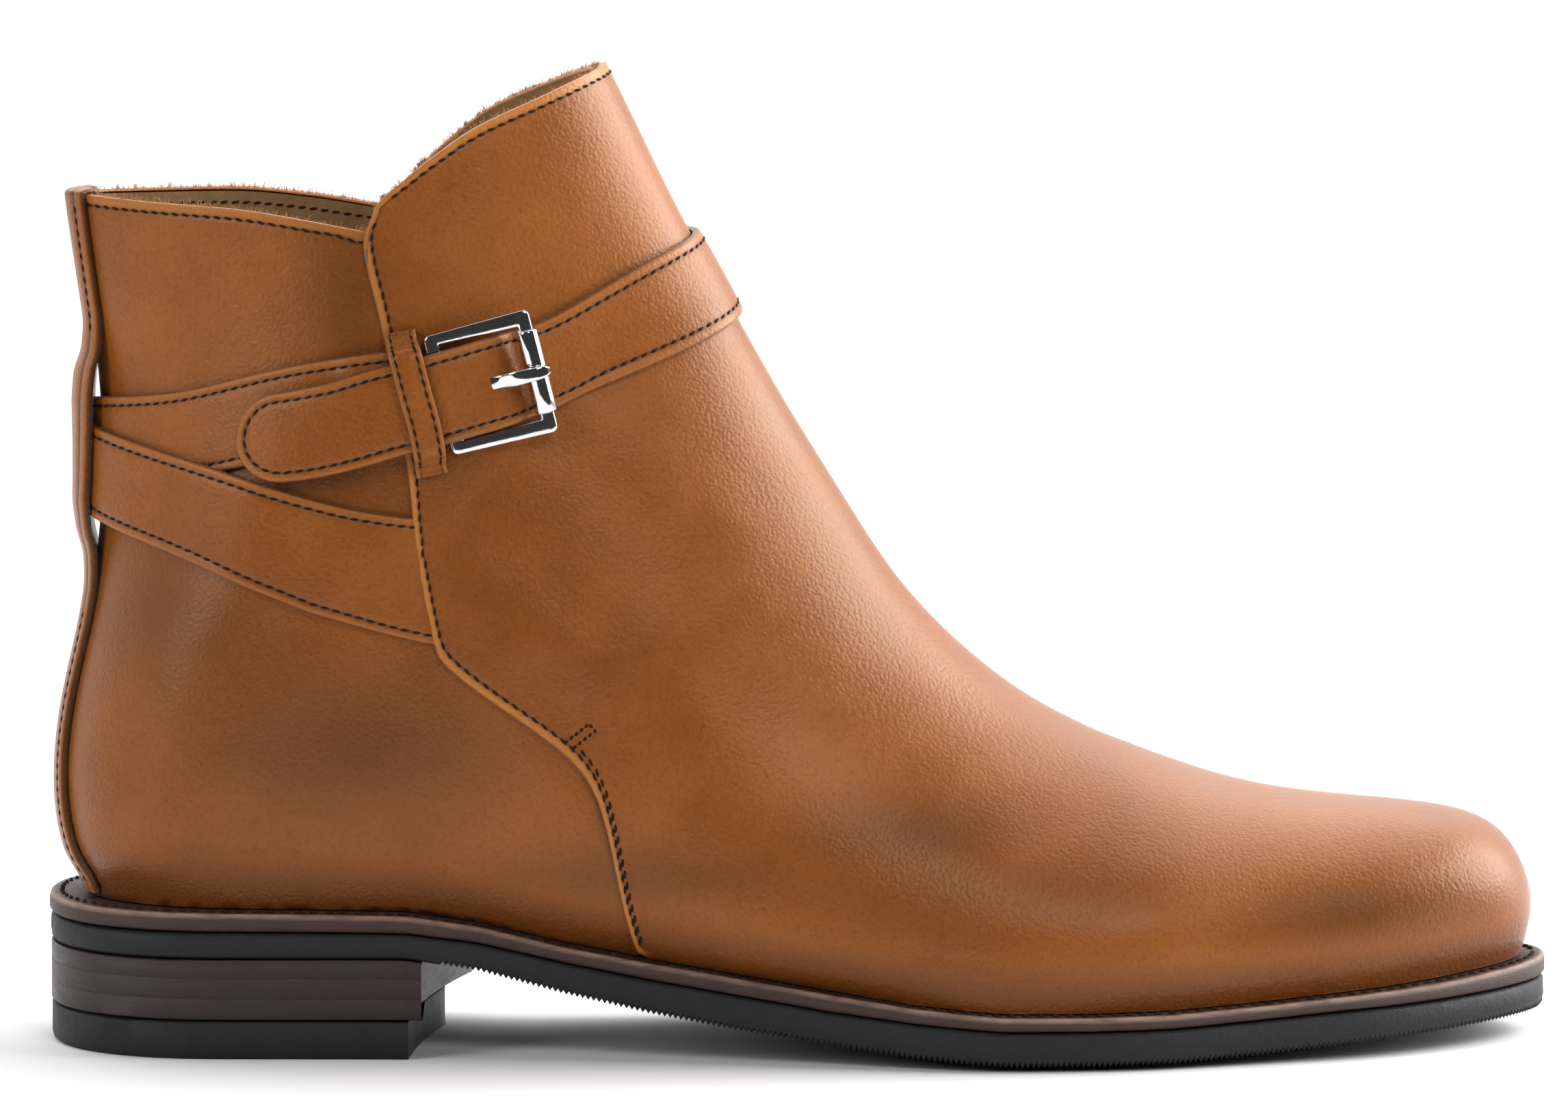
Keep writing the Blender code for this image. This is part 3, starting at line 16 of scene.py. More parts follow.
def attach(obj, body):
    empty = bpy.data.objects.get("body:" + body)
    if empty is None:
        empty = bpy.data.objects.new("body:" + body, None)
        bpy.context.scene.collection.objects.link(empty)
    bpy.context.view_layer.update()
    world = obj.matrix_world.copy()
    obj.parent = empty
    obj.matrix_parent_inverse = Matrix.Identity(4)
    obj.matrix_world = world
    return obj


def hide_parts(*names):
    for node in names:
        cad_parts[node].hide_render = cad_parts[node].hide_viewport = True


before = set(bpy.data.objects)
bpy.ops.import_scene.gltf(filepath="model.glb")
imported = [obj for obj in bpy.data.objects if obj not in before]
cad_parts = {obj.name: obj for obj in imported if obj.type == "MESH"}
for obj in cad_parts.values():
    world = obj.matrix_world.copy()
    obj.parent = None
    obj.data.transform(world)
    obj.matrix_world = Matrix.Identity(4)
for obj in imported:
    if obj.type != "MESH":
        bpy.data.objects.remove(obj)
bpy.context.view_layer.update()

# Driving sizes
LENGTH = 0.306
BALL_WIDTH = 0.1026
COLLAR_HEIGHT = 0.2
HEEL_MIDDLE = 0.13 * LENGTH
SOLE_HEIGHT = 0.0302
WALL = 0.0017
PANEL_STEP = 0.0015
TOE_LEDGE = 0.0048
SIDE_LEDGE = 0.0045
HEEL_LEDGE = 0.006
TOP_PIECE_HEIGHT = 0.0078
SOLE_CROWN = 0.0013
STRAP_WIDTH = 0.0182
STRAP_THICKNESS = 0.0015
BACKSTAY_THICKNESS = 0.0014
BACKSTAY_WIDTH = 0.0135
BACKSTAY_FOLD = 0.006
KEEPER_THICKNESS = 0.0011
KEEPER_WIDTH = 0.0063
BUCKLE_HEIGHT = 0.0225
BUCKLE_WIRE = 0.0014
BUCKLE_DEPTH = 0.0011
ROLLER_RADIUS = 0.00225
ROLLER_WALL = 0.0005
ROLLER_LENGTH = 0.0172
PRONG_RADIUS = 0.0012
PRONG_KNEE = 0.09
BACKSTAY_CLEARANCE = 0.0011
GAP = 0.0003

# How finely the forms are worked out
ARC_SAMPLES = 60
LINE_SAMPLES = 400
PLACE_SAMPLES = 2000
LEG_RINGS = 130
LEG_RING_SAMPLES = 121
LEG_STEPS = 361
LEG_LEVELS = 173
EDGE_STEPS = 181


def table(columns, rows):
    """Returns the rows as one array for each of the columns, which are named in one string."""
    return dict(zip(columns.split(), np.array(rows, dtype=float).T))


def natural_spline(knots, values):
    """Returns the natural cubic through the knots, as a function."""
    knots = np.asarray(knots, dtype=float)
    values = np.asarray(values, dtype=float)
    count = len(knots)
    step = np.diff(knots)
    slope = np.diff(values) / step
    matrix = np.eye(count)
    right = np.zeros(count)
    for i in range(1, count - 1):
        matrix[i, i - 1] = step[i - 1]
        matrix[i, i] = 2 * (step[i - 1] + step[i])
        matrix[i, i + 1] = step[i]
        right[i] = 6 * (slope[i] - slope[i - 1])
    bend = np.linalg.solve(matrix, right)

    def curve(x):
        x = np.clip(x, knots[0], knots[-1])
        i = np.clip(np.searchsorted(knots, x, side="right") - 1, 0, count - 2)
        h = step[i]
        a = (knots[i + 1] - x) / h
        b = (x - knots[i]) / h
        cubic = ((a ** 3 - a) * bend[i] + (b ** 3 - b) * bend[i + 1]) * h * h / 6
        return a * values[i] + b * values[i + 1] + cubic

    return curve


def steady_spline(knots, values):
    """Returns a cubic through the knots that never overshoots them, as a function."""
    knots = np.asarray(knots, dtype=float)
    values = np.asarray(values, dtype=float)
    step = np.diff(knots)
    slope = np.diff(values) / step
    tangent = np.zeros(len(knots))
    tangent[0] = slope[0]
    tangent[-1] = slope[-1]
    for i in range(1, len(knots) - 1):
        if slope[i - 1] * slope[i] > 0:
            before = 2 * step[i] + step[i - 1]
            after = step[i] + 2 * step[i - 1]
            tangent[i] = (before + after) / (before / slope[i - 1] + after / slope[i])

    def curve(x):
        x = np.clip(x, knots[0], knots[-1])
        i = np.clip(np.searchsorted(knots, x, side="right") - 1, 0, len(step) - 1)
        h = step[i]
        t = (x - knots[i]) / h
        start = (1 + 2 * t) * (1 - t) ** 2 * values[i] + t * (1 - t) ** 2 * h * tangent[i]
        end = t * t * (3 - 2 * t) * values[i + 1] + t * t * (t - 1) * h * tangent[i + 1]
        return start + end

    return curve


def ease(t):
    """Smooth rise from 0 to 1."""
    t = np.clip(t, 0.0, 1.0)
    return t * t * (3 - 2 * t)


# Outline of the sole: x in lengths, middle and half width in ball widths, before the ends are rounded
OUTLINE = table("x middle half", (
    (0.00, 0.000, 0.314),
    (0.12, -0.005, 0.323),
    (0.25, -0.015, 0.317),
    (0.38, -0.044, 0.312),
    (0.47, -0.054, 0.341),
    (0.56, -0.039, 0.414),
    (0.62, -0.015, 0.473),
    (0.68, 0.015, 0.500),
    (0.73, 0.034, 0.499),
    (0.80, 0.058, 0.458),
    (0.88, 0.068, 0.385),
    (0.95, 0.068, 0.297),
    (1.00, 0.068, 0.234),
))
HEEL_ROUND = 0.115
HEEL_ROUND_POWER = 2.3
TOE_ROUND = 0.135
TOE_ROUND_POWER = 2.4
outline_middle = natural_spline(OUTLINE["x"], OUTLINE["middle"])
outline_half = natural_spline(OUTLINE["x"], OUTLINE["half"])

# Levels of the sole along its edge: x in lengths, heights in sole heights
SOLE_LEVELS = table("x underside seam top", (
    (0.000, 0.685, 0.861, 1.000),
    (0.130, 0.685, 0.858, 0.990),
    (0.240, 0.685, 0.848, 0.974),
    (0.288, 0.603, 0.788, 0.907),
    (0.342, 0.460, 0.666, 0.778),
    (0.386, 0.361, 0.579, 0.699),
    (0.442, 0.255, 0.490, 0.609),
    (0.507, 0.162, 0.387, 0.513),
    (0.572, 0.079, 0.311, 0.421),
    (0.652, 0.030, 0.262, 0.364),
    (0.735, 0.033, 0.265, 0.368),
    (0.862, 0.099, 0.328, 0.430),
    (0.926, 0.139, 0.351, 0.470),
    (1.000, 0.185, 0.387, 0.536),
))
underside_level = steady_spline(SOLE_LEVELS["x"], SOLE_LEVELS["underside"])
seam_level = steady_spline(SOLE_LEVELS["x"], SOLE_LEVELS["seam"])
top_level = steady_spline(SOLE_LEVELS["x"], SOLE_LEVELS["top"])

# Stations along the sole, closer together round its ends
ROUND_STATIONS = 8
HEEL_STATIONS = (0.16, 0.20, 0.24)
ARCH_STATION = 0.288
ARCH_STATIONS = 11
END_CURVE = 1 - np.cos(np.linspace(0, pi / 2, ROUND_STATIONS))
TOE_CURVE = 1 - TOE_ROUND * (1 - np.cos(np.linspace(pi / 2, 0, ROUND_STATIONS)))
FRONT_STATIONS = np.linspace(ARCH_STATION, 1 - TOE_ROUND, ARCH_STATIONS)
STATIONS = np.concatenate((HEEL_ROUND * END_CURVE, HEEL_STATIONS, FRONT_STATIONS, TOE_CURVE[1:]))


def level(curve, lift=0.0):
    """The height function of one of the sole's levels, straight between stations."""
    heights = curve(STATIONS) * SOLE_HEIGHT
    return lambda x: np.interp(x / LENGTH, STATIONS, heights) + lift


# Back seam of the upper: height in collar heights, x in lengths
BACK_SEAM = table("z x", (
    (0.150, 0.0200),
    (0.200, 0.0072),
    (0.270, 0.0018),
    (0.350, 0.0080),
    (0.430, 0.0200),
    (0.520, 0.0290),
    (0.620, 0.0312),
    (0.710, 0.0272),
    (0.790, 0.0192),
    (0.870, 0.0120),
    (1.000, 0.0030),
))
back_seam_x = natural_spline(BACK_SEAM["z"], BACK_SEAM["x"])

# Sections of the upper from the toe to above the collar. front_x is in lengths and front_z in collar
# heights. end is how far the section's lower end lies along the feather edge from the toe, in lengths, and
# past the heel on up the back seam, in CLIMB collar heights. bulge is what the section is wider, each side,
# than the sole there, and mid and ridge are where its middle and its top lie across, all in ball widths. low
# is where it is widest, in shares from top to end. crown and tuck are how full it is at the top and below
# its widest. round is how long the rounding at the back of the leg is, in lengths, and power how blunt it is.
SECTIONS = table("front_x front_z end bulge mid ridge low crown tuck round power", (
    (0.9843, 0.0820, 0.000, 0.000, 0.068, 0.068, 0.60, 0.55, 0.50, 0.115, 2.30),
    (0.9910, 0.1250, 0.006, 0.006, 0.068, 0.068, 0.60, 0.56, 0.50, 0.115, 2.30),
    (0.9880, 0.1600, 0.020, 0.010, 0.068, 0.068, 0.62, 0.60, 0.50, 0.115, 2.30),
    (0.9755, 0.1965, 0.043, 0.012, 0.068, 0.068, 0.66, 0.66, 0.50, 0.115, 2.30),
    (0.9445, 0.2250, 0.076, 0.015, 0.068, 0.068, 0.70, 0.70, 0.50, 0.115, 2.30),
    (0.8820, 0.2375, 0.134, 0.015, 0.065, 0.068, 0.74, 0.68, 0.50, 0.115, 2.30),
    (0.8105, 0.2510, 0.203, 0.015, 0.054, 0.063, 0.76, 0.62, 0.50, 0.115, 2.30),
    (0.7385, 0.2835, 0.275, 0.015, 0.027, 0.058, 0.78, 0.55, 0.50, 0.115, 2.30),
    (0.6730, 0.3280, 0.350, -0.006, -0.005, 0.054, 0.80, 0.50, 0.50, 0.115, 2.30),
    (0.6175, 0.3875, 0.428, -0.035, -0.020, 0.049, 0.80, 0.46, 0.50, 0.115, 2.30),
    (0.5685, 0.4650, 0.510, -0.068, -0.020, 0.044, 0.78, 0.44, 0.50, 0.115, 2.30),
    (0.5295, 0.5550, 0.598, -0.094, -0.015, 0.034, 0.72, 0.44, 0.50, 0.115, 2.30),
    (0.4935, 0.6450, 0.696, -0.103, -0.010, 0.024, 0.64, 0.47, 0.52, 0.115, 2.30),
    (0.4640, 0.7250, 0.814, -0.107, -0.005, 0.015, 0.57, 0.50, 0.56, 0.115, 2.30),
    (0.4380, 0.7975, 0.948, -0.117, 0.000, 0.010, 0.53, 0.52, 0.56, 0.118, 2.28),
    (0.4135, 0.8690, 1.078, -0.127, 0.000, 0.005, 0.52, 0.53, 0.54, 0.138, 2.12),
    (0.3905, 0.9425, 1.216, -0.146, 0.000, 0.000, 0.51, 0.54, 0.52, 0.175, 1.80),
    (0.3690, 1.0100, 1.356, -0.164, 0.000, 0.000, 0.50, 0.55, 0.50, 0.205, 1.56),
    (0.3495, 1.0750, 1.487, -0.166, 0.000, 0.000, 0.50, 0.55, 0.50, 0.215, 1.48),
))
LAST_SECTION = len(SECTIONS["end"]) - 1
section_curves = {name: natural_spline(range(LAST_SECTION + 1), values) for name, values in SECTIONS.items()}
WALL_FULLNESS = 0.52
WIDEST_X = 0.68
CLIMB = 1.53
SEAM_START = 0.03
END_LEAN = 0.4
PLACE_STEP = 0.01
TINY = 1e-6
HEEL_REACH = (LENGTH - TOE_LEDGE - HEEL_LEDGE) / LENGTH
HEEL_FEATHER_Z = float(top_level(0.0)) * SOLE_HEIGHT + GAP

# Rear edge of the front panel, from the welt up to its corner and on
PANEL_EDGE = table("x z", (
    (0.400, 0.080),
    (0.387, 0.143),
    (0.378, 0.207),
    (0.369, 0.263),
    (0.349, 0.312),
    (0.305, 0.362),
    (0.269, 0.404),
    (0.258, 0.440),
    (0.248, 0.522),
    (0.243, 0.600),
    (0.228, 0.732),
    (0.217, 0.801),
    (0.214, 0.840),
    (0.220, 0.863),
    (0.222, 0.950),
    (0.222, 1.080),
))

# The inner side's panel edge lies this much further forward, from a height up
INNER_PANEL_SHIFT = 0.0215
SHIFT_LOW = 0.55
SHIFT_RISE = 0.25
SHIFT_FRONT = 0.373
SHIFT_SPAN = 0.153

# Top edges: of the front panel, and of the quarters
PANEL_TOP = table("x z", (
    (0.205, 0.780),
    (0.220, 0.863),
    (0.241, 0.894),
    (0.264, 0.921),
    (0.287, 0.944),
    (0.333, 0.974),
    (0.373, 0.998),
    (0.400, 1.012),
))
QUARTER_TOP = table("x z", (
    (0.000, 0.866),
    (0.060, 0.863),
    (0.120, 0.861),
    (0.170, 0.853),
    (0.215, 0.842),
    (0.260, 0.830),
))
panel_top_height = steady_spline(PANEL_TOP["x"], PANEL_TOP["z"])
quarter_top_height = steady_spline(QUARTER_TOP["x"], QUARTER_TOP["z"])


def rounding(way, length, power):
    """How wide a rounded end is, as a share of its full width, at a way from its tip."""
    return (1 - (1 - np.clip(way / length, 0, 1)) ** power) ** (1 / power)


def welt_height(x):
    """The height of the welt's top at x."""
    return np.interp(x / LENGTH, STATIONS, top_level(STATIONS)) * SOLE_HEIGHT


def outline_point(x_share, side, inset):
    """A point of the sole's outline, drawn in by inset, at a share of the way from heel to toe."""
    round_heel = rounding(x_share, HEEL_ROUND, HEEL_ROUND_POWER)
    round_toe = rounding(1 - x_share, TOE_ROUND, TOE_ROUND_POWER)
    half = (outline_half(x_share) * BALL_WIDTH - inset) * round_heel * round_toe
    x = inset + x_share * (LENGTH - 2 * inset)
    y = outline_middle(x_share) * BALL_WIDTH + side * half
    return x, y


def feather_point(end, inset):
    """Where the upper meets the welt: x, middle, half width and height at a share of the way from the toe."""
    toe_x = LENGTH - TOE_LEDGE - inset
    heel_x = HEEL_LEDGE + inset
    way = np.clip(end / HEEL_REACH, 0.0, 1.0)
    x_share = 1 - way
    _, y_inner = outline_point(x_share, 1, SIDE_LEDGE + inset)
    middle = outline_middle(x_share) * BALL_WIDTH
    x = toe_x + (heel_x - toe_x) * way
    return x, middle, y_inner - middle, welt_height(x) + GAP


def back_line(z, inset):
    """How far forward the back of the upper lies at height z."""
    climb = np.clip(z - HEEL_FEATHER_Z, 0, None)
    heel_x = HEEL_LEDGE + inset
    seam_x = back_seam_x(z / COLLAR_HEIGHT) * LENGTH + inset
    return heel_x + (seam_x - heel_x) * ease(climb / (SEAM_START * LENGTH))


def section(u, inset):
    """The sizes of the upper's section at place u, taken in by inset on all sides."""
    sizes = {name: curve(u) for name, curve in section_curves.items()}
    before = np.asarray(u) - PLACE_STEP
    after = np.asarray(u) + PLACE_STEP
    along_x = (section_curves["front_x"](after) - section_curves["front_x"](before)) * LENGTH
    along_z = (section_curves["front_z"](after) - section_curves["front_z"](before)) * COLLAR_HEIGHT
    along = np.hypot(along_x, along_z)
    front_x = sizes["front_x"] * LENGTH - inset * along_z / along
    front_z = sizes["front_z"] * COLLAR_HEIGHT + inset * along_x / along
    end_x, end_middle, end_half, end_z = feather_point(sizes["end"], inset)
    climb = (sizes["end"] - HEEL_REACH) * CLIMB * COLLAR_HEIGHT
    end_z = np.where(climb > 0, end_z + climb, end_z)
    end_x = np.where(climb > 0, back_line(end_z, inset), end_x)
    toe_rounding = rounding(sizes["end"] / HEEL_REACH, TOE_ROUND, TOE_ROUND_POWER)
    heel_way = np.clip(1 - sizes["end"] / HEEL_REACH, 0, 1)
    end_full = (outline_half(heel_way) * BALL_WIDTH - SIDE_LEDGE - inset) * toe_rounding
    _, _, wide_half, _ = feather_point(np.minimum(sizes["end"], (1 - WIDEST_X) * HEEL_REACH), inset)
    return sizes | {
        "front": (front_x, front_z),
        "end": (end_x, end_z),
        "half": np.maximum(wide_half + sizes["bulge"] * BALL_WIDTH, end_half),
        "end_full": end_full,
        "ridge": sizes["ridge"] * BALL_WIDTH,
        "mid": sizes["mid"] * BALL_WIDTH,
        "end_middle": end_middle,
    }


def bezier(points, t):
    """A cubic curve's value at t."""
    a, b, c, d = points
    return a * (1 - t) ** 3 + 3 * b * t * (1 - t) ** 2 + 3 * c * t * t * (1 - t) + d * t ** 3


def section_points(u, turn, side, inset):
    """Points of the upper at place u. turn runs from 0 at the top through 1 at the widest to 2 at the end."""
    s = section(u, inset)
    low = s["low"]
    half = s["half"]
    end_full = s["end_full"]
    upper_t = np.clip(turn, 0, 1)
    lower_t = np.clip(turn - 1, 0, 1)
    share_above = bezier((0.0, 0.0, low * (1 - WALL_FULLNESS), low), upper_t)
    width_above = bezier((0.0, s["crown"] * half, half, half), upper_t)
    whole = LENGTH - TOE_LEDGE - HEEL_LEDGE - 2 * inset
    end_way = (s["end"][0] - HEEL_LEDGE - inset) / whole
    open_end = (rounding(end_way, s["round"], s["power"]) * end_full / np.maximum(half, TINY)) ** 2
    last_share = 1 - END_LEAN * open_end * (1 - low)
    last_width = (half + end_full) / 2
    share_below = bezier((low, low + s["tuck"] * (1 - low), last_share, 1.0), lower_t)
    width_below = bezier((half, half, last_width, end_full), lower_t)
    share = np.where(turn <= 1, share_above, share_below)
    width = np.where(turn <= 1, width_above, width_below)
    middle_above = s["ridge"] + (s["mid"] - s["ridge"]) * ease(share / low)
    middle_below = s["mid"] + (s["end_middle"] - s["mid"]) * ease((share - low) / (1 - low))
    middle = np.where(turn <= 1, middle_above, middle_below)
    x = s["front"][0] + (s["end"][0] - s["front"][0]) * share
    z = s["front"][1] + (s["end"][1] - s["front"][1]) * share
    from_back = (x - back_line(z, inset)) / whole
    y = middle + side * width * rounding(from_back, s["round"], s["power"])
    return np.stack(np.broadcast_arrays(x, y, z), axis=-1)


def curve_points(columns, shift=0.0):
    """A table's x and z as a smooth line in metres."""
    x_at = natural_spline(range(len(columns["x"])), columns["x"])
    z_at = natural_spline(range(len(columns["z"])), columns["z"])
    place = np.linspace(0, len(columns["x"]) - 1, LINE_SAMPLES)
    z = z_at(place)
    x = x_at(place) + shift * ease((z - SHIFT_LOW) / SHIFT_RISE)
    return x * LENGTH, z * COLLAR_HEIGHT


EDGE_LINES = {-1: curve_points(PANEL_EDGE), 1: curve_points(PANEL_EDGE, INNER_PANEL_SHIFT)}


def edge_turn(u, side):
    """The turn at which section u crosses the front panel's rear edge, or 2 where it is all panel."""
    turns = np.linspace(0, 2, 2 * ARC_SAMPLES + 1)
    points = section_points(u, turns, side, 0.0)
    front = points[0]
    end = points[-1]
    edge_x, edge_z = EDGE_LINES[side]
    cross = (edge_x - front[0]) * (end[2] - front[2]) - (edge_z - front[2]) * (end[0] - front[0])
    reach = (end[0] - front[0]) ** 2 + (end[2] - front[2]) ** 2
    share = ((edge_x - front[0]) * (end[0] - front[0]) + (edge_z - front[2]) * (end[2] - front[2])) / reach
    found = np.nonzero((cross[:-1] * cross[1:] <= 0) & (share[:-1] > 0) & (share[:-1] < 1))[0]
    if len(found) == 0:
        return 2.0
    k = found[0]
    part = cross[k] / (cross[k] - cross[k + 1])
    at = share[k] + part * (share[k + 1] - share[k])
    shares = (points[:, 0] - front[0]) / (end[0] - front[0])
    return float(np.interp(at, shares, turns))


def section_at_end(end):
    """The place u whose section ends at that share of the feather edge."""
    places = np.linspace(0, LAST_SECTION, PLACE_SAMPLES)
    return float(np.interp(end, section_curves["end"](places), places))


PANEL_FOOT_X = 0.3925
PANEL_FOOT_END = (LENGTH - TOE_LEDGE) / LENGTH - PANEL_FOOT_X
PANEL_START = section_at_end(PANEL_FOOT_END)
HEEL_PLACE = section_at_end(HEEL_REACH)


# Angles round the leg, from the toe: positive to the inner side, and half a turn at the back seam
LEG_AXIS_X = 0.235 * LENGTH
LEG_ANGLES = np.linspace(-pi, pi, LEG_STEPS)
LEG_LOW = 0.14
LEG_HEIGHTS = np.linspace(LEG_LOW, 1.0, LEG_LEVELS) * COLLAR_HEIGHT
LEG_START = 10


def leg_distances():
    """How far the quarters' skin lies from the leg's axis, at each angle and height."""
    inner_turns = np.linspace(2, 0, LEG_RING_SAMPLES)
    outer_turns = np.linspace(0, 2, LEG_RING_SAMPLES)[1:]
    turns = np.concatenate((inner_turns, outer_turns))
    sides = np.concatenate((np.ones(len(inner_turns)), -np.ones(len(outer_turns))))
    rings = []
    for u in np.linspace(LEG_START, LAST_SECTION, LEG_RINGS):
        points = section_points(u, turns, sides, PANEL_STEP)
        angles = np.unwrap(np.arctan2(points[:, 1], points[:, 0] - LEG_AXIS_X))
        distances = np.hypot(points[:, 1], points[:, 0] - LEG_AXIS_X)
        order = slice(None, None, -1)
        far = np.interp(LEG_ANGLES, angles[order], distances[order], left=np.nan, right=np.nan)
        high = np.interp(LEG_ANGLES, angles[order], points[order, 2], left=np.nan, right=np.nan)
        rings.append((far, high))
    far = np.array([ring[0] for ring in rings])
    high = np.array([ring[1] for ring in rings])
    grid = []
    for k in range(len(LEG_ANGLES)):
        known = ~np.isnan(far[:, k])
        grid.append(np.interp(LEG_HEIGHTS, high[known, k], far[known, k]))
    return np.array(grid)


LEG_DISTANCES = leg_distances()

# Keeps a place on their grid short of its last line
CELL_END = 1.001


def leg_distance(angle, z):
    """The skin's distance from the leg's axis."""
    angle = (angle + pi) % (2 * pi)
    across = np.clip(angle / (LEG_ANGLES[1] - LEG_ANGLES[0]), 0, len(LEG_ANGLES) - CELL_END)
    up = np.clip((z - LEG_HEIGHTS[0]) / (LEG_HEIGHTS[1] - LEG_HEIGHTS[0]), 0, len(LEG_HEIGHTS) - CELL_END)
    i = across.astype(int)
    j = up.astype(int)
    a = across - i
    b = up - j
    low = LEG_DISTANCES[i, j] * (1 - a) + LEG_DISTANCES[i + 1, j] * a
    high = LEG_DISTANCES[i, j + 1] * (1 - a) + LEG_DISTANCES[i + 1, j + 1] * a
    return low * (1 - b) + high * b


TURN_STEP = 0.03
RISE_STEP = 0.0015


def on_leather(angle, z, lift=0.0):
    """A point that stands off the quarters' skin by lift."""
    angle, z, lift = np.broadcast_arrays(*(np.asarray(values, float) for values in (angle, z, lift)))

    def skin(angle, z):
        far = leg_distance(angle, z)
        return np.stack((LEG_AXIS_X + far * np.cos(angle), far * np.sin(angle), z), axis=-1)

    round_leg = skin(angle + TURN_STEP, z) - skin(angle - TURN_STEP, z)
    up_leg = skin(angle, z + RISE_STEP) - skin(angle, z - RISE_STEP)
    normal = np.cross(round_leg, up_leg)
    normal = normal / np.linalg.norm(normal, axis=-1, keepdims=True)
    return skin(angle, z) + normal * lift[..., None]


def unit(vectors):
    """The vectors at length one."""
    return vectors / np.maximum(np.linalg.norm(vectors, axis=-1, keepdims=True), TINY)


def across_path(angles, heights, halves, shares):
    """Angles and heights of lanes across a strap, square to its path."""
    path = on_leather(angles, heights)
    along = unit(np.gradient(path, axis=0))
    ahead = on_leather(angles + TURN_STEP, heights) - on_leather(angles - TURN_STEP, heights)
    above = on_leather(angles, heights + RISE_STEP) - on_leather(angles, heights - RISE_STEP)
    outward = unit(np.cross(ahead, above))
    across = unit(np.cross(outward, along))
    across = across * (1 if np.sum(across[:, 2]) > 0 else -1)
    sideways = unit(ahead)
    upward = unit(above)
    far = leg_distance(angles, heights)
    lane_angles = []
    lane_heights = []
    for share in shares:
        reach = share * halves
        lane_angles.append(angles + reach * np.sum(across * sideways, axis=1) / far)
        lane_heights.append(heights + reach * np.sum(across * upward, axis=1))
    return np.array(lane_angles).T, np.array(lane_heights).T


ROOT_GAP = -0.002
ROOT_LENGTH = radians(30)
EDGE_FROM = 0.2 * pi
EDGE_TO = 0.8 * pi


def edge_angle(side, z):
    """The angle round the leg of the front panel's rear edge at height z."""
    edge_x, edge_z = EDGE_LINES[side]
    angles = side * np.linspace(EDGE_FROM, EDGE_TO, EDGE_STEPS)
    found = []
    for height in z:
        x = LEG_AXIS_X + leg_distance(angles, np.full(len(angles), height)) * np.cos(angles)
        found.append(np.interp(np.interp(height, edge_z, edge_x) - ROOT_GAP, x[::-1], angles[::-1]))
    return np.array(found)


def root_at_panel(lane_angles, lane_heights):
    """The lanes of a strap with their first ends drawn up to the panel's edge."""
    side = np.sign(lane_angles[0, 0])
    shift = edge_angle(side, lane_heights[0]) - lane_angles[0]
    way = np.abs(lane_angles - lane_angles[0]) / ROOT_LENGTH
    return lane_angles + shift * np.clip(1 - way, 0, 1)


# The long strap, from the outer edge of the front panel round the heel, across the front and to its tip.
# turn is in degrees from the toe, round by the outer side. z is in collar heights, half in strap widths,
# and the lifts of its lower and upper edge are in strap thicknesses.
LONG_STRAP = table("turn z half low_lift high_lift", (
    (84, 0.488, 0.73, 0.3, 0.3),
    (92, 0.493, 0.70, 0.3, 0.3),
    (100, 0.499, 0.67, 0.3, 0.3),
    (112, 0.510, 0.62, 0.3, 0.3),
    (125, 0.525, 0.57, 0.3, 0.4),
    (138, 0.542, 0.53, 0.4, 1.5),
    (150, 0.556, 0.51, 0.8, 1.6),
    (165, 0.572, 0.50, 1.4, 1.65),
    (180, 0.590, 0.50, 1.6, 1.65),
    (200, 0.612, 0.50, 1.65, 1.65),
    (217, 0.629, 0.50, 1.65, 1.2),
    (235, 0.646, 0.50, 1.5, 0.7),
    (250, 0.661, 0.50, 0.7, 0.5),
    (266, 0.681, 0.50, 1.35, 1.35),
    (290, 0.715, 0.49, 1.35, 1.35),
    (315, 0.749, 0.47, 1.3, 1.3),
    (337, 0.771, 0.46, 1.3, 1.3),
    (360, 0.779, 0.456, 1.3, 1.3),
    (383, 0.739, 0.43, 1.3, 1.3),
    (401, 0.705, 0.45, 1.3, 1.3),
    (407, 0.698, 0.48, 1.5, 1.5),
    (414, 0.692, 0.50, 3.4, 3.4),
    (424, 0.684, 0.50, 3.9, 3.9),
    (434, 0.676, 0.50, 3.8, 3.8),
    (444, 0.668, 0.50, 3.1, 3.1),
    (455, 0.660, 0.50, 2.6, 2.6),
    (468, 0.648, 0.50, 2.4, 2.4),
    (485, 0.635, 0.50, 1.7, 1.7),
    (499, 0.627, 0.50, 1.6, 1.6),
))

# The short strap, from the inner edge of the front panel round the heel to the buckle's hidden bar
SHORT_STRAP = table("turn z half low_lift high_lift", (
    (-86, 0.489, 0.73, 0.3, 0.3),
    (-97, 0.499, 0.69, 0.3, 0.3),
    (-106, 0.513, 0.65, 0.3, 0.3),
    (-122, 0.538, 0.57, 0.3, 0.3),
    (-145, 0.572, 0.52, 0.3, 0.3),
    (-165, 0.597, 0.50, 0.3, 0.3),
    (-180, 0.612, 0.50, 0.35, 0.45),
    (-203, 0.628, 0.50, 0.3, 0.3),
    (-217, 0.643, 0.50, 0.3, 0.3),
    (-232, 0.658, 0.50, 0.3, 0.3),
    (-247, 0.668, 0.50, 0.4, 0.4),
    (-257, 0.673, 0.50, 1.2, 1.2),
    (-268, 0.677, 0.50, 1.3, 1.3),
    (-281, 0.683, 0.50, 1.3, 1.3),
))

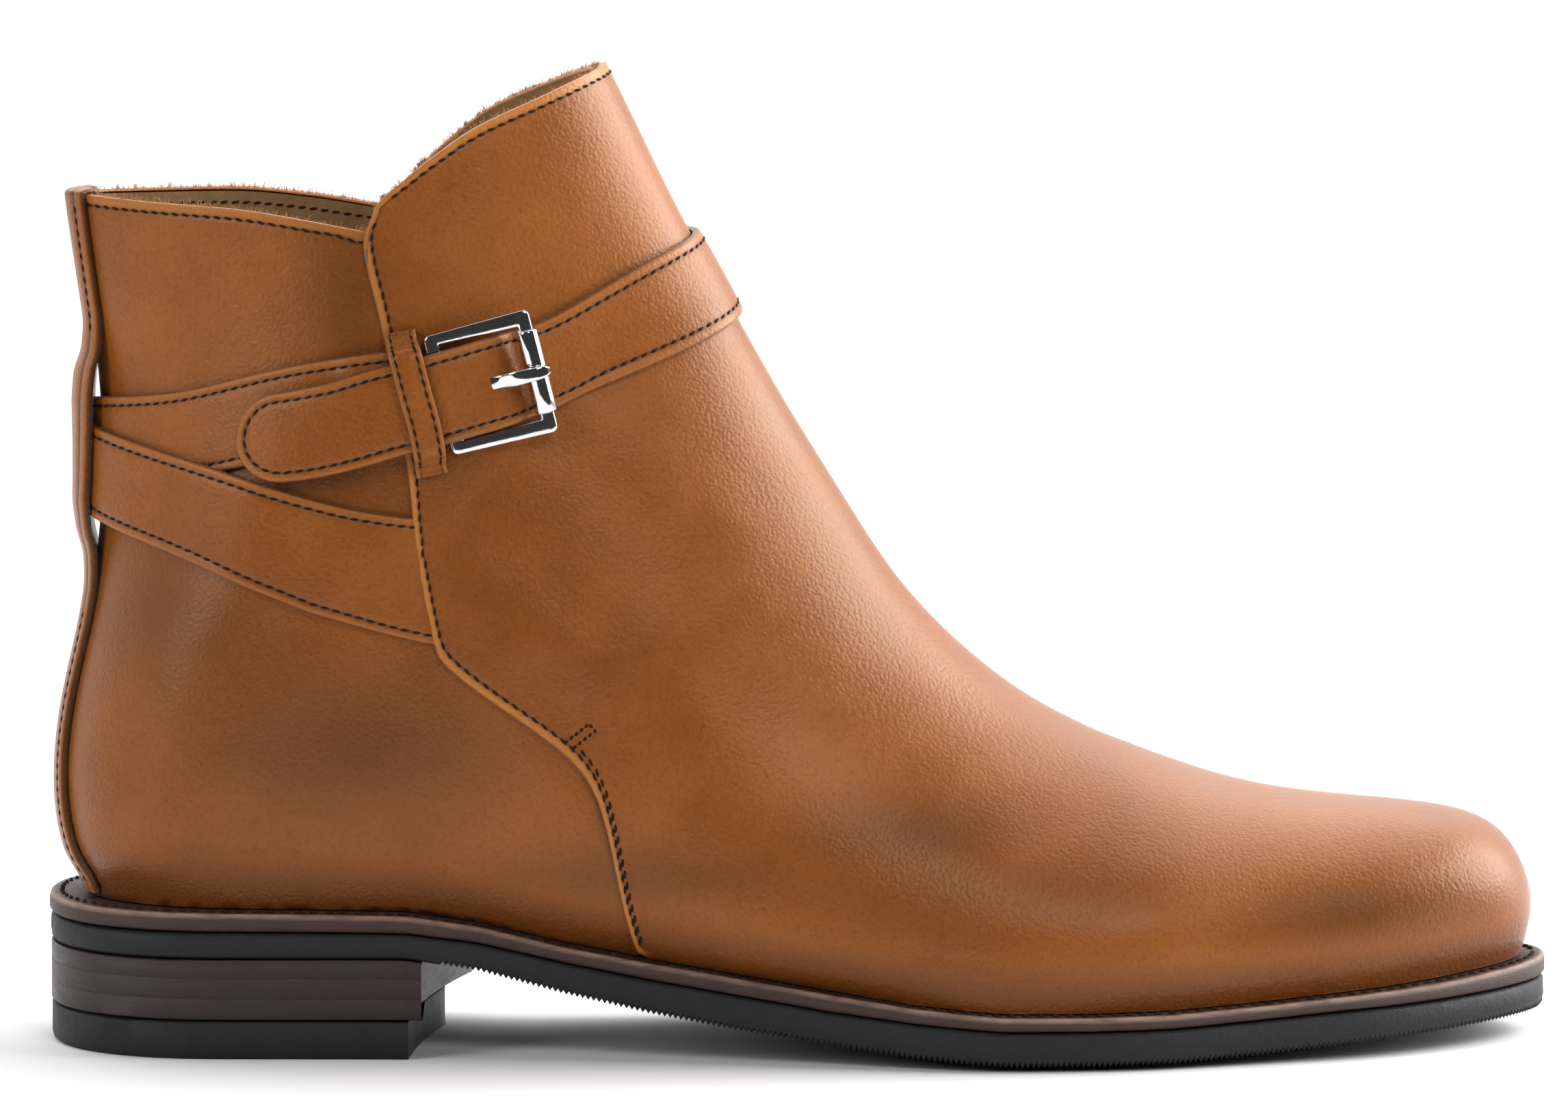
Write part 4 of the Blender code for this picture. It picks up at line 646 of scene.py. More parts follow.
# The strip over the back seam, from the welt up to its loop and on to the collar. z is in collar heights,
# half in its widths, and lift, of its under face, in its thicknesses.
BACKSTAY = table("z half lift", (
    (0.158, 1.10, 0.24),
    (0.200, 0.98, 0.24),
    (0.260, 0.84, 0.24),
    (0.330, 0.70, 0.24),
    (0.400, 0.58, 0.24),
    (0.455, 0.52, 0.32),
    (0.495, 0.49, 1.10),
    (0.525, 0.47, 2.60),
    (0.560, 0.45, 3.38),
    (0.605, 0.43, 3.42),
    (0.650, 0.42, 3.35),
    (0.685, 0.41, 2.70),
    (0.712, 0.40, 1.15),
    (0.745, 0.39, 0.32),
    (0.800, 0.38, 0.24),
    (0.876, 0.37, 0.24),
))

# The keeper, from its upper end down over both straps to its lower end. turn is in degrees from the toe, z in
# collar heights, and lift, of its under face, in its thicknesses.
KEEPER = table("turn z lift", (
    (89.0, 0.742, 1.65),
    (88.6, 0.736, 1.80),
    (88.2, 0.730, 3.20),
    (87.6, 0.723, 5.80),
    (86.6, 0.712, 6.50),
    (84.0, 0.681, 6.75),
    (81.0, 0.648, 6.70),
    (79.4, 0.624, 6.50),
    (78.8, 0.614, 5.20),
    (78.4, 0.609, 2.90),
    (78.0, 0.603, 1.70),
    (77.6, 0.597, 1.65),
))

# The buckle's two bars on the leg: the hidden one that the short strap holds, and the one under the roller.
# turn is in degrees from the toe, z in collar heights, and lift, of the bar's axis, in strap thicknesses.
BUCKLE_BARS = table("turn z lift", (
    (433.0, 0.679, 2.2),
    (405.0, 0.700, 4.7),
))
bars = on_leather(
    -np.radians(BUCKLE_BARS["turn"]),
    BUCKLE_BARS["z"] * COLLAR_HEIGHT,
    BUCKLE_BARS["lift"] * STRAP_THICKNESS,
)


def buckle_axes():
    """The buckle's own axes as columns: along the strap, up along its bars and outwards, with its middle."""
    along = Vector(bars[1] - bars[0]).normalized()
    outward = along.cross(Vector((0, 0, 1))).normalized()
    up = outward.cross(along)
    axes = Matrix((along, up, outward)).transposed().to_4x4()
    axes.translation = Vector((bars[0] + bars[1]) / 2)
    return axes


BUCKLE = buckle_axes()
BAR_SPACING = float(np.linalg.norm(bars[1] - bars[0]))

# Meshes
SHIFT = np.array((HEEL_MIDDLE, 0.0, 0.0))
MERGE = 0.00001
# Values painted on the meshes: how dark, for antiqued tone and painted shade; how light, for cut edges and on
# the welt for wear and a painted highlight; and how near black, for inked edges and painted shade in channels
# and holes
PAINTS = ("dark", "light", "ink")


def new_object(name, data):
    """Adds an object to the scene."""
    made = bpy.data.objects.new(name, data)
    bpy.context.scene.collection.objects.link(made)
    return made


def circle(sides):
    """The cosines and sines of angles evenly spaced all round."""
    around = np.linspace(0, 2 * pi, sides, endpoint=False)
    return np.cos(around), np.sin(around)


class Shell:
    """Collects grids of points with their faces, and the values painted on them."""

    def __init__(self, *paints):
        self.points = []
        self.faces = []
        self.paints = {name: [] for name in paints}

    def grid(self, points, closed=False, **paints):
        """Adds a grid of points with its faces and returns the points' numbers."""
        rows, lanes = points.shape[:2]
        numbers = len(self.points) + np.arange(rows * lanes).reshape(rows, lanes)
        self.points.extend(points.reshape(-1, 3).tolist())
        for name, kept in self.paints.items():
            kept.extend(np.broadcast_to(paints.get(name, 0.0), (rows, lanes)).reshape(-1).tolist())
        if closed:
            numbers = np.concatenate((numbers, numbers[:, :1]), axis=1)
        self.sheet(numbers)
        return numbers

    def sheet(self, numbers):
        """Adds the faces of a grid of point numbers."""
        corners = (numbers[:-1, :-1], numbers[:-1, 1:], numbers[1:, 1:], numbers[1:, :-1])
        self.faces.extend(np.stack(corners, axis=-1).reshape(-1, 4).tolist())

    def cap(self, numbers):
        """Adds one face through the points."""
        self.faces.append([int(number) for number in numbers])

    def tube(self, points, **paints):
        """Adds a closed grid of points with a face over each end."""
        numbers = self.grid(points, closed=True, **paints)
        self.cap(numbers[0][:-1])
        self.cap(numbers[-1][:-1])

    def finish(self, name, look, slot, *nodes, smooth_angle=50):
        """Makes the named piece, which stands in for the nodes."""
        mesh = bpy.data.meshes.new(name)
        mesh.from_pydata((np.array(self.points) - SHIFT).tolist(), [], self.faces)
        for paint, values in self.paints.items():
            layer = mesh.attributes.new(paint, "FLOAT", "POINT")
            layer.data.foreach_set("value", values)
        shape = bmesh.new()
        shape.from_mesh(mesh)
        bmesh.ops.remove_doubles(shape, verts=shape.verts, dist=MERGE)
        bmesh.ops.recalc_face_normals(shape, faces=shape.faces)
        shape.to_mesh(mesh)
        shape.free()
        mesh.shade_smooth()
        mesh.set_sharp_from_angle(angle=radians(smooth_angle))
        mesh.materials.append(look)
        made = new_object(name, mesh)
        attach(made, "root")
        if nodes:
            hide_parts(*nodes)


def grid_normals(points, towards):
    """The normals of a grid of points, on the side that towards points to."""
    normals = unit(np.cross(np.gradient(points, axis=0), np.gradient(points, axis=1)))
    return normals * np.where(np.sum(normals * towards, axis=-1, keepdims=True) < 0, -1, 1)


def path_way(path):
    """The way along a path of points, from its start."""
    return np.concatenate(([0.0], np.cumsum(np.linalg.norm(np.diff(path, axis=0), axis=1))))


# One stitch: places along it, its thickness there and how far it dips into the leather
STITCH_FORM = table("place thick dip", (
    (-1.00, 0.30, 0.90),
    (-0.72, 0.85, 0.30),
    (0.00, 1.00, -0.20),
    (0.72, 0.85, 0.30),
    (1.00, 0.30, 0.90),
))
STITCH_SIDES = 6
STITCH_DIP = 1.4
STITCH_SLANT = 0.2
STITCH_PITCH = 0.0024
STITCH_LENGTH = 0.0021
THREAD = 0.00030


def stitch_row(
    shell, path, outward, pitch=STITCH_PITCH, length=STITCH_LENGTH, thread=THREAD, slant=STITCH_SLANT
):
    """Adds a row of stitches along a path on the leather."""
    way = path_way(path)
    stops = (np.arange(int(way[-1] / pitch)) + 0.5) * pitch

    def at(places, values):
        return np.stack([np.interp(places, way, values[:, k]) for k in range(3)], axis=-1)

    ahead = unit(at(stops + pitch / 4, path) - at(stops - pitch / 4, path))
    out = unit(at(stops, outward))
    beside = np.cross(out, ahead)
    lie = unit(ahead + beside * slant)
    beside = unit(np.cross(out, lie))
    middle = at(stops, path)
    flat, high = circle(STITCH_SIDES)
    for k in range(len(stops)):
        spine = middle[k] + np.outer(STITCH_FORM["place"] * length / 2, lie[k])
        spine = spine - np.outer(STITCH_FORM["dip"] * thread * STITCH_DIP, out[k])
        ring = np.outer(flat, beside[k]) + np.outer(high, out[k])
        shell.tube(spine[:, None, :] + (STITCH_FORM["thick"] * thread)[:, None, None] * ring[None, :, :])


# Finishes
class Finish:
    """A material built up node by node."""

    def __init__(self, name, **sockets):
        self.material = bpy.data.materials.new(name)
        self.material.use_nodes = True
        self.tree = self.material.node_tree
        self.shader = self.tree.nodes["Principled BSDF"]
        self.place = self.add("ShaderNodeTexCoord").outputs["Object"]
        self.feed(self.shader, sockets)

    def feed(self, node, inputs):
        """Sets a node's sockets to values, or joins them to other sockets."""
        for name, value in inputs.items():
            socket = node.inputs[name if isinstance(name, int) else name.replace("_", " ")]
            if isinstance(value, bpy.types.NodeSocket):
                self.tree.links.new(value, socket)
            else:
                socket.default_value = value

    def add(self, kind, settings=(), **inputs):
        """Adds a node with its settings and inputs."""
        node = self.tree.nodes.new(kind)
        for name, value in settings:
            setattr(node, name, value)
        self.feed(node, inputs)
        return node

    def noise(self, scale, detail, roughness, vector=None):
        """Soft clouds, from 0 to 1."""
        sockets = {"Vector": vector or self.place, "Scale": scale, "Detail": detail, "Roughness": roughness}
        return self.add("ShaderNodeTexNoise", **sockets).outputs[0]

    def cells(self, scale):
        """The distance from the middles of small cells."""
        settings = (("feature", "SMOOTH_F1"),)
        node = self.add("ShaderNodeTexVoronoi", settings, Vector=self.place, Scale=scale)
        return node.outputs["Distance"]

    def stretched(self, scale):
        """The place, stretched along the axes."""
        return self.add("ShaderNodeMapping", Vector=self.place, Scale=scale).outputs[0]

    def paint(self, name):
        """A value painted on the mesh."""
        return self.add("ShaderNodeAttribute", (("attribute_name", name),)).outputs["Fac"]

    def span(self, value, low, high, to_low=0.0, to_high=1.0):
        """The value carried over from one range to another."""
        sockets = {"Value": value, "From_Min": low, "From_Max": high, "To_Min": to_low, "To_Max": to_high}
        return self.add("ShaderNodeMapRange", **sockets).outputs["Result"]

    def math(self, operation, first, second):
        """Two values put together, kept from 0 to 1."""
        node = self.add("ShaderNodeMath", (("operation", operation), ("use_clamp", True)))
        self.feed(node, {0: first, 1: second})
        return node.outputs[0]

    def mix(self, share, first, second):
        """Two colours mixed."""
        node = self.add("ShaderNodeMix", (("data_type", "RGBA"),))
        self.feed(node, {0: share, 6: first, 7: second})
        return node.outputs[2]

    def bump(self, height, depth, before=None):
        """Relief of a depth in metres, on top of an earlier one."""
        node = self.add("ShaderNodeBump", Height=height, Distance=depth)
        if before:
            self.feed(node, {"Normal": before})
        return node.outputs["Normal"]

    def wear(self, colour, roughness, normal):
        """Joins the colour, roughness and relief to the shader, and returns the material."""
        self.feed(self.shader, {"Base Color": colour, "Roughness": roughness, "Normal": normal})
        return self.material


def shade(red, green, blue):
    """A colour with full cover."""
    return (red, green, blue, 1.0)


# Noises as scale, detail and roughness, and the depths of relief in metres
CLOUDS = (15.0, 2.0, 0.5)
MOTTLE = (80.0, 4.0, 0.5)
SPECKS = (1100.0, 3.0, 0.6)
WAVES = (40.0, 2.0, 0.5)
WAVE_DEPTH = 0.0003
GRAIN = (1500.0, 3.0, 0.6)
GRAIN_DEPTH = 0.00006
PEBBLES = 1300.0
PEBBLE_DEPTH = 0.00008
PLAIN_NOISE = (4.0, 0.6)
FINER = 5
CLOUD_SHARE = 0.65

# What part of a noise is used, from low to high, and what that is carried over to, where it isn't 0 to 1
CLOUD_SPAN = (0.32, 0.68)
SPECK_SPAN = (0.50, 0.74, 0.0, 0.35)
PATINA_SPAN = (0.2, 0.8, 0.7, 1.3)
PEBBLE_SPAN = (0.0, 0.6)
GLOSS_SPAN = (0.3, 0.75, 0.34, 0.46)
PLAIN_SPAN = (0.3, 0.7)
WEAR_AND_HIGHLIGHT_SPAN = (0.3, 0.6, 0.3, 1.0)

WARM = shade(1.0, 0.74, 0.50)
# Near black, for inked edges and for painted shade in stitch channels and holes
INK_AND_SHADE = shade(0.016, 0.009, 0.006)


def calf(name, low, high, deep, light):
    """Waxed calf: clouded browns, darker where painted dark for its antiqued tone and for painted shade, near
    black on inked edges and where painted shade lies in stitch channels and holes, lighter on cut edges,
    finely pebbled.
    """
    finish = Finish(
        name, Coat_Weight=0.16, Coat_Roughness=0.34, Specular_IOR_Level=0.36, Specular_Tint=WARM,
        Sheen_Weight=0.14, Sheen_Roughness=0.30,
    )
    cloud = finish.math("MULTIPLY", finish.noise(*CLOUDS), CLOUD_SHARE)
    mottle = finish.noise(*MOTTLE)
    depth = finish.math("ADD", cloud, finish.math("MULTIPLY", mottle, 1 - CLOUD_SHARE))
    brown = finish.mix(finish.span(depth, *CLOUD_SPAN), shade(*low), shade(*high))
    speck = finish.span(finish.noise(*SPECKS), *SPECK_SPAN)
    brown = finish.mix(speck, brown, shade(*deep))
    # Painted over the clouds: dark is partly the leather's antiqued tone and partly painted shade; the near
    # black is inked edges with painted shade in channels and holes
    dark = finish.math("MULTIPLY", finish.paint("dark"), finish.span(mottle, *PATINA_SPAN))
    painted_tones = ((dark, shade(*deep)), (finish.paint("light"), shade(*light)), (finish.paint("ink"), INK_AND_SHADE))
    for share, colour in painted_tones:
        brown = finish.mix(share, brown, colour)
    relief = finish.bump(finish.span(finish.cells(PEBBLES), *PEBBLE_SPAN), PEBBLE_DEPTH)
    relief = finish.bump(finish.noise(*GRAIN), GRAIN_DEPTH, relief)
    relief = finish.bump(finish.noise(*WAVES), WAVE_DEPTH, relief)
    return finish.wear(brown, finish.span(mottle, *GLOSS_SPAN), relief)


def plain(name, low, high, scale, roughness, relief_depth, stretch=(1.0, 1.0, 1.0), wear_and_highlight=None, **sockets):
    """A clouded colour with fine relief, for rubber, cut leather, lining, thread and metal."""
    finish = Finish(name, **sockets)
    place = finish.stretched(stretch)
    cloud = finish.noise(scale, *PLAIN_NOISE, place)
    colour = finish.mix(finish.span(cloud, *PLAIN_SPAN), shade(*low), shade(*high))
    # Lighter where painted: on the welt's top edge, wear and a painted highlight
    if wear_and_highlight:
        wear_highlight_share = finish.math("MULTIPLY", finish.paint("light"), finish.span(cloud, *WEAR_AND_HIGHLIGHT_SPAN))
        colour = finish.mix(wear_highlight_share, colour, shade(*wear_and_highlight))
    relief = finish.bump(finish.noise(scale * FINER, *PLAIN_NOISE, place), relief_depth)
    return finish.wear(colour, finish.span(cloud, *PLAIN_SPAN, *roughness), relief)


CALF = calf(
    "tan_calf", (0.175, 0.047, 0.005), (0.285, 0.084, 0.011), (0.055, 0.013, 0.002), (0.48, 0.18, 0.04)
)
STRAP_CALF = calf(
    "strap_calf", (0.180, 0.048, 0.005), (0.290, 0.085, 0.011), (0.055, 0.013, 0.002), (0.42, 0.155, 0.035)
)
LINING = plain("lining", (0.20, 0.110, 0.040), (0.30, 0.175, 0.075), 120.0, (0.75, 0.95), 0.0002)
SUEDE = plain("suede_fibre", (0.36, 0.150, 0.040), (0.55, 0.260, 0.080), 300.0, (0.8, 0.95), 0.0001)
FOOTBED = plain("insole_leather", (0.22, 0.13, 0.06), (0.32, 0.20, 0.10), 60.0, (0.55, 0.75), 0.0003)
THREADS = plain(
    "thread", (0.012, 0.005, 0.002), (0.030, 0.013, 0.006), 900.0, (0.75, 0.95), 0.00006,
    Specular_IOR_Level=0.15,
)
RUBBER = plain(
    "outsole_rubber", (0.007, 0.008, 0.009), (0.013, 0.014, 0.015), 240.0, (0.50, 0.66), 0.00015,
    Specular_IOR_Level=0.30,
)
TOP_RUBBER = plain(
    "top_piece_rubber", (0.006, 0.006, 0.007), (0.012, 0.012, 0.013), 240.0, (0.5, 0.68), 0.00015,
    Specular_IOR_Level=0.30,
)
# The welt's light paint is wear and a painted highlight on its top outer edge
WELT_LEATHER = plain(
    "welt_leather", (0.022, 0.008, 0.005), (0.048, 0.017, 0.011), 160.0, (0.50, 0.64), 0.0002,
    stretch=(1.0, 1.0, 5.0), wear_and_highlight=(0.30, 0.19, 0.14),
)
HEEL_LEATHER = plain(
    "heel_leather", (0.010, 0.0045, 0.003), (0.019, 0.0085, 0.006), 160.0, (0.40, 0.54), 0.00015,
    stretch=(1.0, 1.0, 6.0),
)
CHROME = plain(
    "plated_steel", (0.62, 0.62, 0.64), (0.72, 0.72, 0.73), 120.0, (0.05, 0.09), 0.00001, Metallic=1.0
)
FLOOR = plain("floor", (0.75, 0.75, 0.76), (0.77, 0.77, 0.78), 3.0, (0.8, 0.9), 0.0001)

# Places of rows and lanes on the upper. Those beside an edge lie at these distances from it, with the rows of
# stitches on two of them
EDGE_GAPS = np.array((4.6, 3.5, 2.7, 2.3, 2.0, 1.7, 1.4, 0.8, 0.35, 0.0)) / 1000
STITCH_LANE = -5
SECOND_LANE = -8
LAP_LANE = -4
SEAM_GAP = EDGE_GAPS[STITCH_LANE]
NARROW = 0.02
WORK_SAMPLES = 300
WORK_PLACES = np.linspace(0, LAST_SECTION, WORK_SAMPLES)
RATE_SPAN = 3
EVEN_SAMPLES = 400
PANEL_LANES = 44
QUARTER_LANES = 40
UNDERLAP = 0.03
TOE_ROWS = 72
FOOT_ROWS = 60
LEG_ROWS = 60
INNER_INSET = PANEL_STEP + WALL


def lane_table(side, lanes, panel):
    """Turns of the lanes at each working place, closer together at the panel's edge."""
    turns = []
    for u in WORK_PLACES:
        edge = edge_turn(u, side)
        start, stop = (0.0, edge) if panel else (2.0, edge - UNDERLAP)
        fine = np.linspace(start, stop, ARC_SAMPLES)
        way = path_way(section_points(u, fine, side, 0.0))
        gaps = EDGE_GAPS * min(1.0, way[-1] / NARROW)
        open_lanes = np.linspace(0, way[-1] - gaps[0], lanes - len(gaps) + 2)[:-1]
        turns.append(np.interp(np.concatenate((open_lanes, way[-1] - gaps)), way, fine))
    return np.array(turns)


def even_places(start, stop, count):
    """Places u evenly spaced along the front and the lower edge together."""
    fine = np.linspace(start, stop, EVEN_SAMPLES)
    sizes = section(fine, 0.0)
    way = path_way(np.stack(sizes["front"], axis=1)) + path_way(np.stack(sizes["end"], axis=1))
    return np.interp(np.linspace(0, way[-1], count), way, fine)


LOWER_ROWS = np.concatenate(
    (even_places(0, PANEL_START, TOE_ROWS)[:-1], even_places(PANEL_START, HEEL_PLACE, FOOT_ROWS))
)
PANEL_ROW = TOE_ROWS - 1
HEEL_ROW = len(LOWER_ROWS) - 1


def skin_places(side, turns, top_height, shift):
    """The place u and the turn of each point of one skin, rows up to its top edge by lanes."""
    lanes = turns.shape[1]
    tops = np.zeros(lanes)
    rates = np.zeros(lanes)
    for lane in range(lanes):
        points = section_points(WORK_PLACES, turns[:, lane], side, 0.0)
        back = shift * np.clip((SHIFT_FRONT - points[:, 0] / LENGTH) / SHIFT_SPAN, 0, 1) if side > 0 else 0.0
        over = points[:, 2] / COLLAR_HEIGHT - top_height(points[:, 0] / LENGTH - back)
        k = int(np.nonzero((over > 0) & (WORK_PLACES > HEEL_PLACE))[0][0])
        part = over[k - 1] / (over[k - 1] - over[k])
        tops[lane] = WORK_PLACES[k - 1] + part * (WORK_PLACES[k] - WORK_PLACES[k - 1])
        span = WORK_PLACES[k] - WORK_PLACES[k - RATE_SPAN]
        rates[lane] = np.linalg.norm(points[k] - points[k - RATE_SPAN]) / span
    edge_rows = tops - EDGE_GAPS[:, None] / rates
    shares = np.linspace(0, 1, LEG_ROWS)[1:-1, None]
    leg_rows = HEEL_PLACE + (edge_rows[0] - HEEL_PLACE) * shares
    places = np.concatenate((np.repeat(LOWER_ROWS[:, None], lanes, axis=1), leg_rows, edge_rows))
    lane_turns = [np.interp(places[:, lane], WORK_PLACES, turns[:, lane]) for lane in range(lanes)]
    return places, np.array(lane_turns).T


# Soft troughs in the leather: from x, z to to_x, to_z, in lengths and collar heights, with their width and
# depth in walls. both is 1 for those on both sides of the boot and 0 for those on the outer side alone.
TROUGHS = table("both x z to_x to_z width depth", (
    (1, 0.300, 0.560, 0.372, 0.470, 4.2, 0.36),
    (1, 0.345, 0.600, 0.420, 0.500, 4.6, 0.34),
    (0, 0.330, 0.380, 0.372, 0.300, 3.4, 0.26),
    (0, 0.385, 0.360, 0.430, 0.300, 3.6, 0.22),
    (1, 0.120, 0.420, 0.200, 0.470, 4.4, 0.26),
    (0, 0.090, 0.480, 0.170, 0.540, 4.0, 0.24),
    (1, 0.620, 0.245, 0.690, 0.275, 3.2, 0.20),
    (1, 0.660, 0.220, 0.730, 0.240, 3.2, 0.20),
    (0, 0.230, 0.760, 0.250, 0.660, 3.8, 0.20),
))
TROUGH_ENDS = 0.6
TROUGH_LIP = 0.45
LIP_PLACE = 1.7
LIP_WIDTH = 0.7


def relief(points, side):
    """How far the leather stands above its plain form, at points of one side."""
    rise = np.zeros(points.shape[:2])
    for k in np.nonzero((TROUGHS["both"] == 1) | (side < 0))[0]:
        start = np.array((TROUGHS["x"][k] * LENGTH, TROUGHS["z"][k] * COLLAR_HEIGHT))
        stop = np.array((TROUGHS["to_x"][k] * LENGTH, TROUGHS["to_z"][k] * COLLAR_HEIGHT))
        flat = points[..., (0, 2)] - start
        along = stop - start
        share = np.clip(flat @ along / (along @ along), 0, 1)
        away = np.linalg.norm(flat - share[..., None] * along, axis=-1) / (TROUGHS["width"][k] * WALL)
        depth = TROUGHS["depth"][k] * WALL
        rise -= depth * np.exp(-away ** 2) * (1 - TROUGH_ENDS * (2 * share - 1) ** 2)
        rise += depth * TROUGH_LIP * np.exp(-((away - LIP_PLACE) / LIP_WIDTH) ** 2)
    return rise


# Dark patches on the upper, partly the leather's own antiqued tone and partly painted shade, as beside the
# panel's edge and on the toe's side: middle and reach in lengths and collar heights. side is -1 on the outer
# side of the boot and 1 on the inner side. Along the welt runs a dark band, painted shade where the upper
# tucks in to the welt.
PATCHES = table("side x z reach_x reach_z dark", (
    (-1, 0.215, 0.325, 0.092, 0.072, 0.58),
    (-1, 0.590, 0.235, 0.090, 0.045, 0.60),
    (-1, 0.670, 0.185, 0.180, 0.060, 0.42),
    (-1, 0.200, 0.790, 0.030, 0.090, 0.42),
    (-1, 0.190, 0.590, 0.050, 0.030, 0.60),
    (-1, 0.075, 0.450, 0.060, 0.050, 0.35),
    (-1, 0.400, 0.190, 0.120, 0.030, 0.45),
    (-1, 0.260, 0.620, 0.030, 0.080, 0.35),
    (-1, 0.870, 0.150, 0.110, 0.040, 0.64),
    (1, 0.205, 0.335, 0.085, 0.065, 0.50),
    (1, 0.590, 0.235, 0.070, 0.030, 0.45),
    (1, 0.400, 0.190, 0.120, 0.030, 0.45),
))
WELT_DARK = 0.55
WELT_DARK_RISE = 0.004
WELT_DARK_REACH = 0.006


def patina_and_shade(points, side):
    """How dark the leather is painted at points of one side: its antiqued tone, and painted shade in places
    and along the welt.
    """
    x = points[..., 0]
    z = points[..., 2]
    # Painted shade along the welt, where the upper tucks in to it
    dark = WELT_DARK * np.exp(-((z - welt_height(x) - WELT_DARK_RISE) / WELT_DARK_REACH) ** 2)
    for k in np.nonzero(PATCHES["side"] == side)[0]:
        away_x = (x / LENGTH - PATCHES["x"][k]) / PATCHES["reach_x"][k]
        away_z = (z / COLLAR_HEIGHT - PATCHES["z"][k]) / PATCHES["reach_z"][k]
        dark = np.maximum(dark, PATCHES["dark"][k] * np.exp(-away_x ** 2 - away_z ** 2))
    return dark


# The tack at the foot of the slit: a narrow box of stitches on the panel, from x, z to to_x, to_z
TACK = {"x": 0.3471, "z": 0.3225, "to_x": 0.3637, "to_z": 0.3430}
TACK_WIDTH = 0.0019
TACK_STEP = 0.0003
TACK_PITCH = 0.0013
TACK_LENGTH = 0.00115


def add_tack(thread, leather, side):
    """Adds the tack's stitches on the leather of one side."""
    tree = BVHTree.FromPolygons([Vector(point) for point in leather.points], leather.faces)
    foot = Vector((TACK["x"] * LENGTH, TACK["z"] * COLLAR_HEIGHT))
    head = Vector((TACK["to_x"] * LENGTH, TACK["to_z"] * COLLAR_HEIGHT))
    ahead = (head - foot).normalized()
    beside = Vector((-ahead.y, ahead.x)) * TACK_WIDTH / 2
    corners = (foot + beside, head + beside, head - beside, foot - beside)
    path = []
    outward = []
    for first, second in zip(corners, corners[1:]):
        steps = max(2, int((second - first).length / TACK_STEP))
        for k in range(steps):
            spot = first.lerp(second, k / steps)
            outside = Vector((spot.x, side * BALL_WIDTH, spot.y))
            found, normal, _, _ = tree.ray_cast(outside, Vector((0, -side, 0)))
            path.append(found)
            outward.append(normal * (1 if normal.y * side > 0 else -1))
    stitch_row(thread, np.array(path), np.array(outward), pitch=TACK_PITCH, length=TACK_LENGTH)


# Loose fibres of the cut edges at the rim
FIBRES = 260
FIBRE_SIDES = 3
FIBRE_THICK = 0.00008
FIBRE_TAPER = np.array((1.0, 0.8, 0.4))
FIBRE_LENGTH = (0.0005, 0.0015)
FIBRE_RUN = (0.02, 0.98)
FIBRE_LEAN = 0.7
FIBRE_RISE = np.array((0.0, 0.0, 0.8))
FIBRE_OUT = 0.5
FIBRE_BEND = 0.6
FIBRE_ACROSS = (0.3, 0.5, 0.8)


def add_fibres(shell, rim, outward, seed):
    """Adds fine fibres that stand off a rim."""
    chance = np.random.default_rng(seed)
    places = np.sort(chance.uniform(*FIBRE_RUN, FIBRES)) * (len(rim) - 1)
    lengths = chance.uniform(*FIBRE_LENGTH, FIBRES)
    leans = chance.normal(0.0, FIBRE_LEAN, (FIBRES, 3))
    flat, high = circle(FIBRE_SIDES)
    for place, length, lean in zip(places, lengths, leans):
        k = int(place)
        foot = rim[k] + (rim[k + 1] - rim[k]) * (place % 1)
        rise = unit(FIBRE_RISE + FIBRE_OUT * outward[k] + lean * FIBRE_LEAN)
        bend = unit(rise + lean[::-1] * FIBRE_BEND)
        middle = foot + rise * length / 2
        spine = np.array((foot, middle, middle + bend * length / 2))
        beside = unit(np.cross(rise, FIBRE_ACROSS))
        ring = np.outer(flat, beside) + np.outer(high, np.cross(rise, beside))
        thick = FIBRE_THICK * FIBRE_TAPER
        numbers = shell.grid(spine[:, None, :] + thick[:, None, None] * ring[None], closed=True)
        shell.cap(numbers[-1][:-1])


# The panel's cut edge, from its face down into the boot: how deep and how far past its line, in panel steps
EDGE_ROLL = ((0.07, 0.07), (0.28, 0.14), (0.65, 0.16), (1.15, 0.05), (2.13, 0.0))
EDGE_PAINT = {"light": 0.55, "ink": 0.25}
RIM_RISE = 0.0005
RIM_FULLNESS = 0.6
RIM_STEPS = 9
RIM_LIGHT = 0.5
FIBRE_STEP = 5
FIBRE_SEEDS = {-1: 10, 1: 30}
CHANNEL_DEPTH = 0.00022
CHANNEL_WIDTH = 0.00045
PANEL_LIGHT = 0.75
QUARTER_LIGHT = 0.45
LIGHT_FROM = 0.0012
LIGHT_FADE = 0.0006
# A dark line along the stitch channel, partly its own darker line and partly painted shade of the threads in
# it
SEAM_INK_AND_SHADE = 0.75
SEAM_INK_AND_SHADE_WIDTH = 0.00028
# Painted shadow cast by the panel's raised edge on the quarter beside it: how dark, from which gap, and how
# far it reaches
PANEL_EDGE_SHADOW = 0.8
PANEL_EDGE_SHADOW_GAP = EDGE_GAPS[LAP_LANE]
PANEL_EDGE_SHADOW_REACH = 0.0012

# Small steps that find a direction: of turn, and into the leather
EDGE_PROBE = 0.01
SKIN_PROBE = 0.002

# Where the quarters turn in over the heel's feather edge, in panel steps, and how they drop there
FOOT_TURN = (0.2, 0.7, 1.13)
FOOT_DROP = 0.0006
FOOT_DROP_END = 0.5


def edge_gaps(count):
    """The distances from an edge of a run of rows or lanes that ends at it."""
    return np.concatenate((np.full(count - len(EDGE_GAPS), 1.0), EDGE_GAPS))


